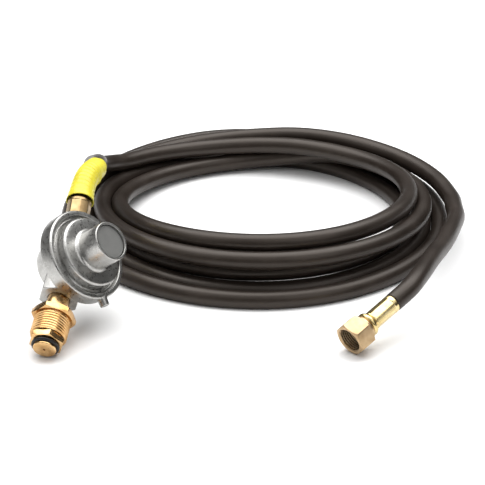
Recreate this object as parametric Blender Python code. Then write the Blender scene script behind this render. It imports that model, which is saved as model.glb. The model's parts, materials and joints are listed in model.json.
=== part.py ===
"""Low-pressure gas regulator with a bottle inlet, a coiled hose and a flare swivel nut.

Metres, +Z up. The origin lies on the ground under the middle of the regulator, and the hose lies coiled
behind it to the right. The regulator's own frame has its origin where the gas crosses the diaphragm's
axis, +X along the gas flow and +Z up the spring tower.
"""

from math import ceil, cos, hypot, pi, radians, sin, sqrt

import bmesh
import bpy
from mathutils import Matrix, Vector

# ---------------------------------------------------------------- clearances and facets
FIT = 0.0003                 # air between two pieces that seat on each other
RUN = 0.0004                 # side air of a piece that swings or slides
SHARP = radians(35)          # edges that turn more than this stay sharp
SIDES_LARGE = 40             # facets round the regulator's halves
SIDES = 28                   # facets round the fittings
SIDES_SMALL = 16             # facets round the small inner pieces

# ---------------------------------------------------------------- how the object lies
FLOW_DIRECTION = (0.160, 0.892, 0.4225)     # the regulator leans back, outlet up
TOWER_DIRECTION = (0.700, -0.405, 0.586)
OUTLET_SKEW = radians(6.0)   # the outlet boss leaves a little off the inlet's line
FLARE_DIRECTION = (-0.690, -0.655, -0.300)  # out of the flare nut's mouth
FLARE_TURN = radians(-15.0)  # which way the nut's corners stand
FLARE_PLACE = (0.0519, -0.1896)             # nut's mouth, from the coil's centre
COIL_CENTRE = (0.110, 0.1455)

# ---------------------------------------------------------------- regulator body
FOOT_R = 0.0155
FOOT_DEPTH = 0.0125          # flow axis to the underside
FOOT_EDGE = 0.0025
FOOT_FLARE = 0.0020
BOWL_R = 0.019
BOWL_DEPTH = 0.002
RIM_R = 0.029                # rolled rim that clamps the bonnet
RIM_EDGE = 0.001
RIM_WALL = 0.0020            # round the bonnet's flange
RIM_OVERHANG = 0.0040        # past the dish under it
DISH_Z = 0.0065
RIM_FOOT_Z = 0.009
SEAT_Z = 0.0116              # where the diaphragm's edge sits
CHAMBER_STEP = 0.0011        # inside the bonnet's disc
CHAMBER_Z = 0.0065
POCKET_R = 0.009             # round the lever and the post's foot
POCKET_DEPTH = 0.0095
POCKET_SHARE = 0.6           # of the pocket's radius, where the bores' tools end inside it
LIP_T = 0.0011
LIP_REACH = 0.0014           # of the rolled lip over the bonnet's flange
BOSS_AF = 0.023              # inlet hexagon, across flats
BOSS_REACH = 0.028
BOSS_EDGE = 0.0008
INLET_SOCKET = 0.0083        # depth of the inlet's pipe thread
OUTLET_BOSS_R = 0.010
OUTLET_REACH = 0.028
OUTLET_SOCKET = 0.010
FLOW_BORE_R = 0.0035
PIPE_R = 0.00685             # quarter inch pipe thread
VENT_ANGLE = radians(-134)
VENT_R = 0.0029
VENT_LENGTH = 0.0045         # of the spout, past the rim
VENT_BORE_R = 0.0016
VENT_HOLE_R = 0.0011

# ---------------------------------------------------------------- bonnet, cap, springs
FLANGE_T = 0.0032
GROOVE_LAND = 0.0026         # flat of the flange, outside the groove
GROOVE_W = 0.0009            # of its floor and of its inner slope
GROOVE_DEPTH = 0.0008
DISC_TOP = 0.0228
DISC_EDGE = 0.0018
TOWER_R = 0.0124
TOWER_TOP = 0.040
TOWER_FILLET = 0.0024
TOWER_EDGE = 0.0004
TOWER_BORE_R = 0.0108
BONNET_ROOF_T = 0.0030
BONNET_WALL = 0.0021
CAP_T = 0.0018
CAP_RECESS = 0.0014
SCREW_Z = 0.0302
SCREW_T = 0.0043
SCREW_KEY_AF = 0.010
MAIN_SPRING_R = 0.007
MAIN_SPRING_WIRE = 0.0015
MAIN_SPRING_TURNS = 5
SPRING_POINTS = 8            # to a turn

# ---------------------------------------------------------------- diaphragm and its post
DIAPHRAGM_T = 0.0008
FOLD_SHARE = 0.625           # of the diaphragm's free ring that the round fold takes
FOLD_H = 0.0013
PLATE_R = 0.0135
PLATE_T = 0.0010
PLATE_RING_R = 0.0056
PLATE_RING_WALL = 0.0010
PLATE_RING_H = 0.0016
POST_R = 0.0019
POST_TOP = 0.0260
POST_FLANGE_R = 0.005
POST_FLANGE_T = 0.0012
POST_FOOT_X = 0.0018         # half sizes of the foot block
POST_FOOT_Y = 0.0028
POST_FOOT_WALL = 0.0014
RELIEF_SPRING_R = 0.0035
RELIEF_SPRING_WIRE = 0.0009
RELIEF_SPRING_TURNS = 4
RELIEF_NUT_AF = 0.0070
RELIEF_NUT_T = 0.003
RELIEF_NUT_Z = 0.022

# ---------------------------------------------------------------- lever and valve
PIN_X = -0.0065              # lever pin, from the flow centre
PIN_Z = -0.0062
PIN_R = 0.0010
PIN_LENGTH = 0.018
LEVER_T = 0.0020
LEVER_BOSS_R = 0.0021
LEVER_ARM_H = 0.0016
LEVER_FINGER_W = 0.0020
LEVER_WEB = 0.0006           # fillet where finger and arm meet
LEVER_BOSS_ENDS = (radians(-24), radians(-240))     # from the arm round to the finger
LEVER_TIP = 0.0014           # arm and finger reach this far past the piece they work
LEVER_SWING = 0.0012         # room beside the finger in the valve's slot
LEVER_LIFT = 0.0007          # room above and below the arm in the post's window
VALVE_R = 0.004
VALVE_LENGTH = 0.0098
VALVE_OPENING = 0.0017       # seat disc to orifice at rest
SEAT_DISC_R = 0.0031
SEAT_DISC_T = 0.0016
ORIFICE_TIP_X = -0.0150
ORIFICE_R = 0.0010
ORIFICE_SHANK_R = 0.0032
ORIFICE_FLANGE_R = 0.0056
ORIFICE_FLANGE_T = 0.0015
ORIFICE_TIP = 0.0005

# ---------------------------------------------------------------- bottle inlet, from its nose inwards
NOSE_R = 0.0071
NOSE_LAND = 0.0012
NOSE_HOLE_R = 0.0008
ORING_GROOVE_R = 0.0062
ORING_GROOVE_W = 0.0030
ORING_R = 0.00105            # the ring's own thickness, halved
NIPPLE_HEX_AF = 0.019
NIPPLE_HEX_T = 0.0043
NIPPLE_STEM_R = 0.0065
NIPPLE_STEM_END = 0.0270
NIPPLE_LENGTH = 0.0442
NIPPLE_BORE_R = 0.0040
NIPPLE_FLOOR = 0.0080
NUT_BARREL_R = 0.0112        # left-hand bottle thread
NUT_BARREL_LENGTH = 0.0138
NUT_HEX_AF = 0.0238
NUT_HEX_T = 0.0047
NUT_BORE_R = 0.0073
POPPET_R = 0.0033
POPPET_GUIDE = 0.0060
POPPET_NECK_R = 0.0016
POPPET_HEAD_R = 0.0026
POPPET_REACH = 0.0152        # guide's back to the head's tip
POPPET_TIP_R = 0.0010
POPPET_CONE = 0.0020
FLOW_SEAT_HOLE_R = 0.0019
FLOW_SEAT_T = 0.0020
FLOW_SEAT_START = 0.0260
FLOW_SPRING_R = 0.0032
FLOW_SPRING_WIRE = 0.00045
FLOW_SPRING_TURNS = 6

# ---------------------------------------------------------------- hose and its ends
HOSE_D = 0.012
OUTLET_HEX_AF = 0.0159
OUTLET_HEX_T = 0.0048
OUTLET_BARB_R = 0.00365
OUTLET_BORE_R = 0.0026
OUTLET_FERRULE_R = 0.0075
OUTLET_FERRULE_WALL = 0.0012
OUTLET_FERRULE_LENGTH = 0.0141
FERRULE_FLOOR = 0.0011       # turned-in end of each ferrule
FERRULE_FLUTES = 8
FERRULE_FLUTE_DEPTH = 0.0004
FERRULE_PLAIN = 0.1          # share of a ferrule's length that stays round at each end
BARB_STEP = 0.0045
BARB_HEIGHT = 0.0004
BARB_FACE = 0.0007           # length of a barb's steep side
SLEEVE_WALL = 0.0008
SLEEVE_LOOSE = 0.0009
SLEEVE_LENGTH = 0.045
SLEEVE_STEP = 0.0075
SLEEVE_SIDES = 20
FLARE_AF = 0.01905           # three quarter inch wrench
FLARE_HEX_T = 0.0122
FLARE_THREAD_R = 0.0073
FLARE_MOUTH_R = 0.0082
FLARE_COLLAR_R = 0.0083
FLARE_COLLAR_T = 0.0025
FLARE_SHOULDER = 0.0115      # mouth to the shoulder that pulls on the stem
FLARE_HEAD_T = 0.0032
FLARE_CONE_R = 0.0058
FLARE_STEM_R = 0.0049
FLARE_BEAD_R = 0.0069
FLARE_BEAD_T = 0.0043
FLARE_BARB_R = 0.0032
FLARE_BORE_R = 0.0024
FLARE_FERRULE_R = 0.0059
FLARE_FERRULE_WALL = 0.0006
FLARE_FERRULE_LENGTH = 0.0199

# ---------------------------------------------------------------- the hose's routes
# Points between the fittings and the coil, from the coil's centre.
LEAD_ROUTE = (
    (-0.1113, -0.0746, 0.0658),
    (-0.1067, -0.0510, 0.0638),
    (-0.1071, -0.0296, 0.0583),
    (-0.1138, -0.0009, 0.0455),
)
TAIL_ROUTE = (
    (0.1285, -0.0480, 0.0215),
    (0.1190, -0.0800, 0.0235),
    (0.1075, -0.1120, 0.0270),
    (0.0965, -0.1410, 0.0280),
)
TUBE_STEP = 0.015            # between the tube's rings
COIL_X = 0.098               # half widths of the innermost column's loop
COIL_FRONT = 0.102
COIL_BACK = 0.094
COIL_STATIONS = 24           # points to a loop
COIL_COLUMN = 1.04           # diameters from one column to the next
COIL_AIR = 0.0009            # between strands that lie on each other, before they settle
COIL_START = 2               # station of the first point, from the left side clockwise
COIL_START_RISE = 0.0035     # the hose comes down onto the coil
SETTLE_TURNS = 400           # rounds of pushing the strands apart
SETTLE_PULL = 0.06           # share of the way back to the plan in a round
SETTLE_PULL_TURNS = 300      # rounds that pull
SETTLE_SMOOTH = 0.12         # share of the way to the neighbours' middle in a round
SETTLE_SMOOTH_TURNS = 340    # rounds that smooth
COIL_SIDES = 8               # sides of the coil named in each row below
# Where each pass lies, as (column outwards, layer upwards) in diameters, at back left, back, back right,
# right, front right, front, front left and left.
COIL_PASSES = (
    ((0.8, 0.98), (0.0, 0.95), (0.15, 1.05), (0.65, 2.0), (0.45, 2.5), (0.05, 2.5), (-0.3, 2.4), (-0.1, 0.8)),
    ((0.0, 0.0), (0.2, 0.0), (0.6, 0.8), (1.4, 1.0), (1.25, 1.9), (0.81, 1.85), (0.5, 1.5), (0.95, 0.9)),
    ((1.15, 0.0), (1.2, 0.0), (0.3, 0.0), (0.1, 0.0), (0.35, 0.85), (0.3, 0.85), (0.25, 0.82), (0.6, 0.0)),
    ((2.3, 0.0), (2.2, 0.0), (2.2, 0.1), (2.2, 0.0), (1.9, 0.0), (1.8, 0.0), (2.0, 0.0), (2.75, 0.0)),
    ((3.0, 0.5), (2.1, 0.9), (1.5, 0.2), (1.15, 0.0), (0.85, 0.0), (0.6, 0.0), (0.95, 0.0), (1.75, 0.1)),
    ((1.9, 0.75), (1.0, 1.25), (1.9, 1.5), (2.8, 1.2)),
)

# ---------------------------------------------------------------- worked out from the sizes above
DISH_R = RIM_R - RIM_OVERHANG
FLANGE_R = RIM_R - RIM_WALL
VENT_REACH = RIM_R + VENT_LENGTH
DIAPHRAGM_R = FLANGE_R - FIT
GROOVE_OUT_R = FLANGE_R - GROOVE_LAND
GROOVE_IN_R = GROOVE_OUT_R - GROOVE_W
DISC_R = GROOVE_IN_R - GROOVE_W
CHAMBER_R = DISC_R - CHAMBER_STEP
FOLD_R = (PLATE_R + CHAMBER_R) / 2
FOLD_W = (CHAMBER_R - PLATE_R) * FOLD_SHARE
POCKET_BITE = POCKET_R * POCKET_SHARE
DIAPHRAGM_Z = SEAT_Z + FIT
FLANGE_Z = DIAPHRAGM_Z + DIAPHRAGM_T + FIT
FLANGE_TOP = FLANGE_Z + FLANGE_T
LIP_Z = FLANGE_TOP + FIT
RIM_TOP = LIP_Z + LIP_T
PLATE_Z = DIAPHRAGM_Z + DIAPHRAGM_T + FIT
PLATE_TOP = PLATE_Z + PLATE_T
CAP_TOP = TOWER_TOP - CAP_RECESS
SOCKET_FLOOR_X = -(BOSS_REACH - INLET_SOCKET)
ORIFICE_BACK_X = SOCKET_FLOOR_X - FIT - ORIFICE_FLANGE_T
NOSE_X = ORIFICE_BACK_X - FIT - NIPPLE_LENGTH
DISC_FRONT_X = ORIFICE_TIP_X + VALVE_OPENING
HOLDER_FRONT_X = DISC_FRONT_X + FIT
DISC_FLOOR_X = DISC_FRONT_X + SEAT_DISC_T + FIT
GUIDE_R = VALVE_R + FIT
GUIDE_FRONT_X = ORIFICE_TIP_X - 2 * ORIFICE_TIP
ORING_START = NOSE_LAND
NIPPLE_HEX_START = ORING_START + ORING_GROOVE_W
NIPPLE_HEX_END = NIPPLE_HEX_START + NIPPLE_HEX_T
NUT_START = NIPPLE_HEX_END + FIT
NUT_HEX_START = NUT_START + NUT_BARREL_LENGTH
POPPET_START = NIPPLE_FLOOR + FIT
OUTLET_HEX_X = OUTLET_REACH + FIT
OUTLET_HEX_END = OUTLET_HEX_X + OUTLET_HEX_T
OUTLET_FERRULE_X = OUTLET_HEX_END + FIT
OUTLET_END_X = OUTLET_FERRULE_X + OUTLET_FERRULE_LENGTH
FLARE_REAR = FLARE_HEX_T + FLARE_COLLAR_T
FLARE_BEAD_START = FLARE_REAR + FIT
FLARE_BEAD_END = FLARE_BEAD_START + FLARE_BEAD_T
FLARE_FERRULE_START = FLARE_BEAD_END + FIT
FLARE_END = FLARE_FERRULE_START + FLARE_FERRULE_LENGTH
HOSE_R = HOSE_D / 2
COIL_SINK = HOSE_D / 10      # a strand on the ground is flattened by this much


# ---------------------------------------------------------------- helpers
def look(name, colour, roughness, metallic):
    """A plain surface for one piece."""
    material = bpy.data.materials.new(name)
    material.use_nodes = True
    shader = material.node_tree.nodes["Principled BSDF"]
    shader.inputs["Base Color"].default_value = (*colour, 1)
    shader.inputs["Roughness"].default_value = roughness
    shader.inputs["Metallic"].default_value = metallic
    material.diffuse_color = (*colour, 1)
    return material


def place(name, data, parent=None, location=(0, 0, 0)):
    piece = bpy.data.objects.new(name, data)
    bpy.context.scene.collection.objects.link(piece)
    piece.parent = parent
    piece.location = location
    return piece


def made(name, bm, material, parent=None, location=(0, 0, 0)):
    """The object of a finished bmesh, shaded smooth but for its sharp edges."""
    bmesh.ops.recalc_face_normals(bm, faces=bm.faces)
    mesh = bpy.data.meshes.new(name)
    bm.to_mesh(mesh)
    bm.free()
    mesh.materials.append(material)
    mesh.shade_smooth()
    mesh.set_sharp_from_angle(angle=SHARP)
    return place(name, mesh, parent, location)


def turned(profile, sides, along_x=False):
    """Spin (radius, height) points round +Z, or round +X. A profile off the axis is a closed ring."""
    bm = bmesh.new()
    verts = [bm.verts.new((radius, 0, height)) for radius, height in profile]
    edges = [bm.edges.new(pair) for pair in zip(verts, verts[1:])]
    if profile[0][0] > 0:
        edges.append(bm.edges.new((verts[-1], verts[0])))
    bmesh.ops.spin(bm, geom=verts + edges, cent=(0, 0, 0), axis=(0, 0, 1), angle=2 * pi, steps=sides,
                   use_merge=True)
    bmesh.ops.remove_doubles(bm, verts=bm.verts, dist=1e-6)
    if along_x:
        bmesh.ops.transform(bm, matrix=Matrix.Rotation(pi / 2, 4, "Y"), verts=bm.verts)
    return bm


def prism(outline, low, high, turn=Matrix()):
    """Extrude an (x, y) outline from low to high along Z, then turn it."""
    bm = bmesh.new()
    face = bm.faces.new([bm.verts.new((x, y, low)) for x, y in outline])
    lifted = bmesh.ops.extrude_face_region(bm, geom=[face])["geom"]
    moved = [item for item in lifted if isinstance(item, bmesh.types.BMVert)]
    bmesh.ops.translate(bm, verts=moved, vec=(0, 0, high - low))
    bmesh.ops.transform(bm, matrix=turn, verts=bm.verts)
    return bm


ALONG_X = Matrix.Rotation(pi / 2, 4, "Y")      # a prism's +Z becomes +X
ALONG_Y = Matrix.Rotation(pi / 2, 4, "X")      # an outline's +Y becomes +Z, its depth runs along Y


def hexagon(across_flats, turn=0.0):
    radius = across_flats / sqrt(3)
    return [(radius * cos(turn + k * pi / 3), radius * sin(turn + k * pi / 3)) for k in range(6)]


def corners(across_flats):
    """Radius at a hexagon's corners."""
    return across_flats / sqrt(3)


def box(low, high):
    (x0, y0, z0), (x1, y1, z1) = low, high
    return prism([(x0, y0), (x1, y0), (x1, y1), (x0, y1)], z0, z1)


def boolean(piece, operation, name, bm, material, location=(0, 0, 0), parent=None):
    """Shape a piece with a hidden tool in the piece's own frame, or in another."""
    tool = made(f"{piece.name}_{name}_tool", bm, material, parent or piece.parent, location)
    tool.hide_render = True
    tool.display_type = "WIRE"
    modifier = piece.modifiers.new(name, "BOOLEAN")
    modifier.operation = operation
    modifier.object = tool
    modifier.solver = "EXACT"


def hexed(piece, across_flats, low, high, material, turn=0.0, location=(0, 0, 0)):
    """Trim a turned piece that lies along X to a hexagon wherever it is fatter than one."""
    stock = prism(hexagon(across_flats, turn), low - FIT, high + FIT, ALONG_X)
    boolean(piece, "INTERSECT", "hexagon", stock, material, location)


def arc(centre_x, centre_y, radius, start, end, steps):
    angles = [start + (end - start) * k / steps for k in range(steps + 1)]
    return [(centre_x + radius * cos(a), centre_y + radius * sin(a)) for a in angles]


def shell(outer, inner):
    """A tube from its outer and its inner rings, both listed from one end to the other."""
    bm = bmesh.new()
    loops = [[bm.verts.new(point) for point in ring] for ring in outer + inner[::-1]]
    for ring, following in zip(loops, loops[1:] + loops[:1]):
        for k in range(len(ring)):
            bm.faces.new((ring[k - 1], ring[k], following[k], following[k - 1]))
    return bm


def tube(name, points, radius, resolution, material, parent=None, location=(0, 0, 0)):
    """A round rod or hose through points, with closed ends."""
    curve = bpy.data.curves.new(name, "CURVE")
    curve.dimensions = "3D"
    curve.bevel_depth = radius
    curve.bevel_resolution = resolution
    curve.use_fill_caps = True
    spline = curve.splines.new("POLY")
    spline.points.add(len(points) - 1)
    for point, spot in zip(spline.points, points):
        point.co = (*spot, 1)
    curve.materials.append(material)
    return place(name, curve, parent, location)


def spring(name, mean_r, wire, turns, low, high, material, parent, location=(0, 0, 0), along_x=False):
    """A wire helix between two faces, drawn in by its own thickness and the seating gap."""
    count = turns * SPRING_POINTS
    start = low + wire / 2 + FIT
    rise = high - low - wire - 2 * FIT
    points = []
    for k in range(count + 1):
        angle = 2 * pi * turns * k / count
        height = start + rise * k / count
        side = (mean_r * cos(angle), mean_r * sin(angle))
        points.append((height, *side) if along_x else (*side, height))
    return tube(name, points, wire / 2, 1, material, parent, location)


def axes(x_direction, z_direction):
    """A frame's rotation from the way its X runs and about the way its Z runs."""
    x_axis = Vector(x_direction).normalized()
    z_axis = Vector(z_direction)
    z_axis = (z_axis - z_axis.dot(x_axis) * x_axis).normalized()
    return Matrix((x_axis, z_axis.cross(x_axis), z_axis)).transposed().to_4x4()


def extent(pieces):
    """Lowest and highest corner of some pieces, as they stand."""
    bpy.context.view_layer.update()
    graph = bpy.context.evaluated_depsgraph_get()
    spots = []
    for piece in pieces:
        shaped = piece.evaluated_get(graph)
        mesh = shaped.to_mesh()
        spots += [shaped.matrix_world @ vert.co for vert in mesh.vertices]
        shaped.to_mesh_clear()
    low = Vector([min(spot[axis] for spot in spots) for axis in range(3)])
    high = Vector([max(spot[axis] for spot in spots) for axis in range(3)])
    return low, high


# ---------------------------------------------------------------- regulator halves
def make_body(frame, outlet, zinc):
    outside = [
        (0, -FOOT_DEPTH),
        (FOOT_R, -FOOT_DEPTH),
        (FOOT_R + FOOT_FLARE, -FOOT_DEPTH + FOOT_EDGE),
        (BOWL_R, -BOWL_DEPTH),
        (DISH_R, DISH_Z),
        (RIM_R - RIM_EDGE, DISH_Z + RIM_EDGE),
        (RIM_R, RIM_FOOT_Z),
        (RIM_R, RIM_TOP - RIM_EDGE),
        (RIM_R - RIM_EDGE, RIM_TOP),
        (FLANGE_R - LIP_REACH, RIM_TOP),
        (FLANGE_R - LIP_REACH, LIP_Z),
        (FLANGE_R + FIT, LIP_Z),
        (FLANGE_R + FIT, SEAT_Z),
        (0, SEAT_Z),
    ]
    body = made("regulator_body", turned(outside, SIDES_LARGE), zinc, frame)

    hex_low = -BOSS_REACH
    hex_stock = turned([(0, hex_low), (BOSS_AF / 2, hex_low), (corners(BOSS_AF), hex_low + BOSS_EDGE),
                        (corners(BOSS_AF), -POCKET_R), (0, -POCKET_R)], SIDES_LARGE, along_x=True)
    boss = made("inlet_boss_tool", hex_stock, zinc, frame)
    hexed(boss, BOSS_AF, hex_low, -POCKET_R, zinc, turn=pi / 6)
    boss.hide_render = True
    boss.display_type = "WIRE"
    join = body.modifiers.new("inlet_boss", "BOOLEAN")
    join.operation = "UNION"
    join.object = boss
    join.solver = "EXACT"

    outlet_stock = [(0, POCKET_R), (OUTLET_BOSS_R, POCKET_R), (OUTLET_BOSS_R, OUTLET_REACH - BOSS_EDGE),
                    (OUTLET_BOSS_R - BOSS_EDGE, OUTLET_REACH), (0, OUTLET_REACH)]
    boolean(body, "UNION", "outlet_boss", turned(outlet_stock, SIDES, along_x=True), zinc, parent=outlet)

    vent_z = FLANGE_Z + FLANGE_T / 2
    root = FLANGE_R + 2 * FIT
    spout = turned([(0, root), (VENT_R, root), (VENT_R, VENT_REACH), (0, VENT_REACH)], SIDES_SMALL,
                   along_x=True)
    bmesh.ops.transform(spout, matrix=Matrix.Rotation(VENT_ANGLE, 4, "Z"), verts=spout.verts)
    boolean(body, "UNION", "vent_spout", spout, zinc, (0, 0, vent_z))

    chamber = [(0, -POCKET_DEPTH), (POCKET_R, -POCKET_DEPTH), (POCKET_R, CHAMBER_Z), (CHAMBER_R, CHAMBER_Z),
               (CHAMBER_R, SEAT_Z + FIT), (0, SEAT_Z + FIT)]
    boolean(body, "DIFFERENCE", "chamber", turned(chamber, SIDES_LARGE), zinc)

    inlet = [(0, -BOSS_REACH - FIT), (PIPE_R + FIT, -BOSS_REACH - FIT), (PIPE_R + FIT, SOCKET_FLOOR_X),
             (ORIFICE_SHANK_R + FIT, SOCKET_FLOOR_X), (ORIFICE_SHANK_R + FIT, GUIDE_FRONT_X),
             (GUIDE_R, GUIDE_FRONT_X), (GUIDE_R, -POCKET_BITE), (0, -POCKET_BITE)]
    boolean(body, "DIFFERENCE", "inlet_bore", turned(inlet, SIDES, along_x=True), zinc)

    floor_x = OUTLET_REACH - OUTLET_SOCKET
    bore = [(0, POCKET_BITE), (FLOW_BORE_R, POCKET_BITE), (FLOW_BORE_R, floor_x), (PIPE_R + FIT, floor_x),
            (PIPE_R + FIT, OUTLET_REACH + FIT), (0, OUTLET_REACH + FIT)]
    boolean(body, "DIFFERENCE", "outlet_bore", turned(bore, SIDES, along_x=True), zinc, parent=outlet)

    reach = PIN_LENGTH / 2 + FIT
    pin_hole = turned([(0, -reach), (PIN_R + FIT, -reach), (PIN_R + FIT, reach), (0, reach)], SIDES_SMALL)
    bmesh.ops.transform(pin_hole, matrix=ALONG_Y, verts=pin_hole.verts)
    boolean(body, "DIFFERENCE", "pin_hole", pin_hole, zinc, (PIN_X, 0, PIN_Z))

    vent = turned([(0, FLANGE_R - FIT), (VENT_BORE_R, FLANGE_R - FIT), (VENT_BORE_R, VENT_REACH + FIT),
                   (0, VENT_REACH + FIT)], SIDES_SMALL, along_x=True)
    bmesh.ops.transform(vent, matrix=Matrix.Rotation(VENT_ANGLE, 4, "Z"), verts=vent.verts)
    boolean(body, "DIFFERENCE", "vent_bore", vent, zinc, (0, 0, vent_z))
    return body


def make_bonnet(frame, zinc):
    roof = DISC_TOP - BONNET_ROOF_T
    inner_r = DISC_R - BONNET_WALL
    profile = [
        (FLANGE_R, FLANGE_Z),
        (FLANGE_R, FLANGE_TOP),
        (GROOVE_OUT_R + GROOVE_DEPTH / 2, FLANGE_TOP),
        (GROOVE_OUT_R, FLANGE_TOP - GROOVE_DEPTH),
        (GROOVE_IN_R, FLANGE_TOP - GROOVE_DEPTH),
        (DISC_R, FLANGE_TOP),
        (DISC_R - DISC_EDGE / 4, DISC_TOP - DISC_EDGE),
        (DISC_R - DISC_EDGE, DISC_TOP - DISC_EDGE / 4),
        *arc(TOWER_R + TOWER_FILLET, DISC_TOP + TOWER_FILLET, TOWER_FILLET, -pi / 2, -pi, 3),
        (TOWER_R, TOWER_TOP - TOWER_EDGE),
        (TOWER_R - TOWER_EDGE, TOWER_TOP),
        (TOWER_BORE_R + TOWER_EDGE, TOWER_TOP),
        (TOWER_BORE_R, TOWER_TOP - TOWER_EDGE),
        (TOWER_BORE_R, roof),
        (inner_r - DISC_EDGE, roof),
        (inner_r, roof - DISC_EDGE),
        (inner_r, FLANGE_Z),
    ]
    bonnet = made("bonnet", turned(profile, SIDES_LARGE), zinc, frame)
    vent = turned([(0, inner_r - BONNET_WALL), (VENT_HOLE_R, inner_r - BONNET_WALL),
                   (VENT_HOLE_R, FLANGE_R + FIT), (0, FLANGE_R + FIT)], 12, along_x=True)
    bmesh.ops.transform(vent, matrix=Matrix.Rotation(VENT_ANGLE, 4, "Z"), verts=vent.verts)
    boolean(bonnet, "DIFFERENCE", "vent_hole", vent, zinc, (0, 0, FLANGE_Z + FLANGE_T / 2))
    return bonnet


def make_vent_screen(frame, steel):
    radius = VENT_BORE_R - FIT
    far = VENT_REACH - VENT_BORE_R
    disc = turned([(0, far - VENT_BORE_R / 3), (radius, far - VENT_BORE_R / 3), (radius, far), (0, far)], 12,
                  along_x=True)
    bmesh.ops.transform(disc, matrix=Matrix.Rotation(VENT_ANGLE, 4, "Z"), verts=disc.verts)
    return made("vent_screen", disc, steel, frame, (0, 0, FLANGE_Z + FLANGE_T / 2))


def make_tower_pieces(frame, cap_look, brass, steel):
    radius = TOWER_BORE_R - FIT
    edge = TOWER_EDGE
    cap = turned([(0, CAP_TOP - CAP_T), (radius, CAP_TOP - CAP_T), (radius, CAP_TOP - edge),
                  (radius - edge, CAP_TOP), (0, CAP_TOP)], SIDES_LARGE)
    made("closing_cap", cap, cap_look, frame)
    top = SCREW_Z + SCREW_T
    ring = turned([(0, SCREW_Z), (radius, SCREW_Z), (radius, top - edge), (radius - edge, top), (0, top)],
                  SIDES)
    screw = made("adjusting_screw", ring, brass, frame)
    boolean(screw, "DIFFERENCE", "key", prism(hexagon(SCREW_KEY_AF), SCREW_Z - FIT, top + FIT), brass)
    spring("main_spring", MAIN_SPRING_R, MAIN_SPRING_WIRE, MAIN_SPRING_TURNS, PLATE_TOP, SCREW_Z, steel,
           frame)


# ---------------------------------------------------------------- diaphragm group
def make_diaphragm(frame, rubber):
    def fold(radius):
        across = (radius - FOLD_R) / (FOLD_W / 2)
        return FOLD_H * cos(across * pi / 2) if abs(across) < 1 else 0.0

    fold_radii = [FOLD_R + FOLD_W / 2 * k for k in (-1, -0.5, 0, 0.5, 1)]
    radii = [POST_R + FIT, *fold_radii, DIAPHRAGM_R]
    lower = [(radius, DIAPHRAGM_Z + fold(radius)) for radius in radii]
    upper = [(radius, height + DIAPHRAGM_T) for radius, height in lower[::-1]]
    made("diaphragm", turned(lower + upper, SIDES), rubber, frame)


def make_plate(frame, steel):
    hole = POST_R + FIT
    inner = PLATE_RING_R - PLATE_RING_WALL
    profile = [(hole, PLATE_Z), (PLATE_R, PLATE_Z), (PLATE_R, PLATE_TOP), (PLATE_RING_R, PLATE_TOP),
               (PLATE_RING_R, PLATE_TOP + PLATE_RING_H), (inner, PLATE_TOP + PLATE_RING_H),
               (inner, PLATE_TOP), (hole, PLATE_TOP)]
    made("diaphragm_plate", turned(profile, SIDES), steel, frame)


def make_post(frame, brass):
    flange_top = DIAPHRAGM_Z - FIT
    window_low = PIN_Z - LEVER_ARM_H / 2 - LEVER_LIFT
    window_high = PIN_Z + LEVER_ARM_H / 2 + LEVER_LIFT
    foot_low = window_low - POST_FOOT_WALL
    foot_high = window_high + POST_FOOT_WALL
    stem = [(0, window_high + FIT), (POST_R, window_high + FIT), (POST_R, flange_top - POST_FLANGE_T),
            (POST_FLANGE_R, flange_top - POST_FLANGE_T), (POST_FLANGE_R, flange_top), (POST_R, flange_top),
            (POST_R, POST_TOP), (0, POST_TOP)]
    post = made("diaphragm_post", turned(stem, SIDES_SMALL), brass, frame)
    foot = box((-POST_FOOT_X, -POST_FOOT_Y, foot_low), (POST_FOOT_X, POST_FOOT_Y, foot_high))
    boolean(post, "UNION", "foot", foot, brass)
    half = LEVER_T / 2 + RUN
    window = box((-2 * POST_FOOT_X, -half, window_low), (2 * POST_FOOT_X, half, window_high))
    boolean(post, "DIFFERENCE", "window", window, brass)


def make_relief(frame, brass, steel):
    spring("relief_spring", RELIEF_SPRING_R, RELIEF_SPRING_WIRE, RELIEF_SPRING_TURNS, PLATE_TOP, RELIEF_NUT_Z,
           steel, frame)
    corner = corners(RELIEF_NUT_AF)
    top = RELIEF_NUT_Z + RELIEF_NUT_T
    edge = corner - RELIEF_NUT_AF / 2
    ring = turned([(POST_R + FIT, RELIEF_NUT_Z), (corner, RELIEF_NUT_Z), (corner, top - edge),
                   (RELIEF_NUT_AF / 2, top), (POST_R + FIT, top)], SIDES_SMALL)
    nut = made("relief_nut", ring, brass, frame)
    stock = prism(hexagon(RELIEF_NUT_AF), RELIEF_NUT_Z - FIT, top + FIT)
    boolean(nut, "INTERSECT", "hexagon", stock, brass)


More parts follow.
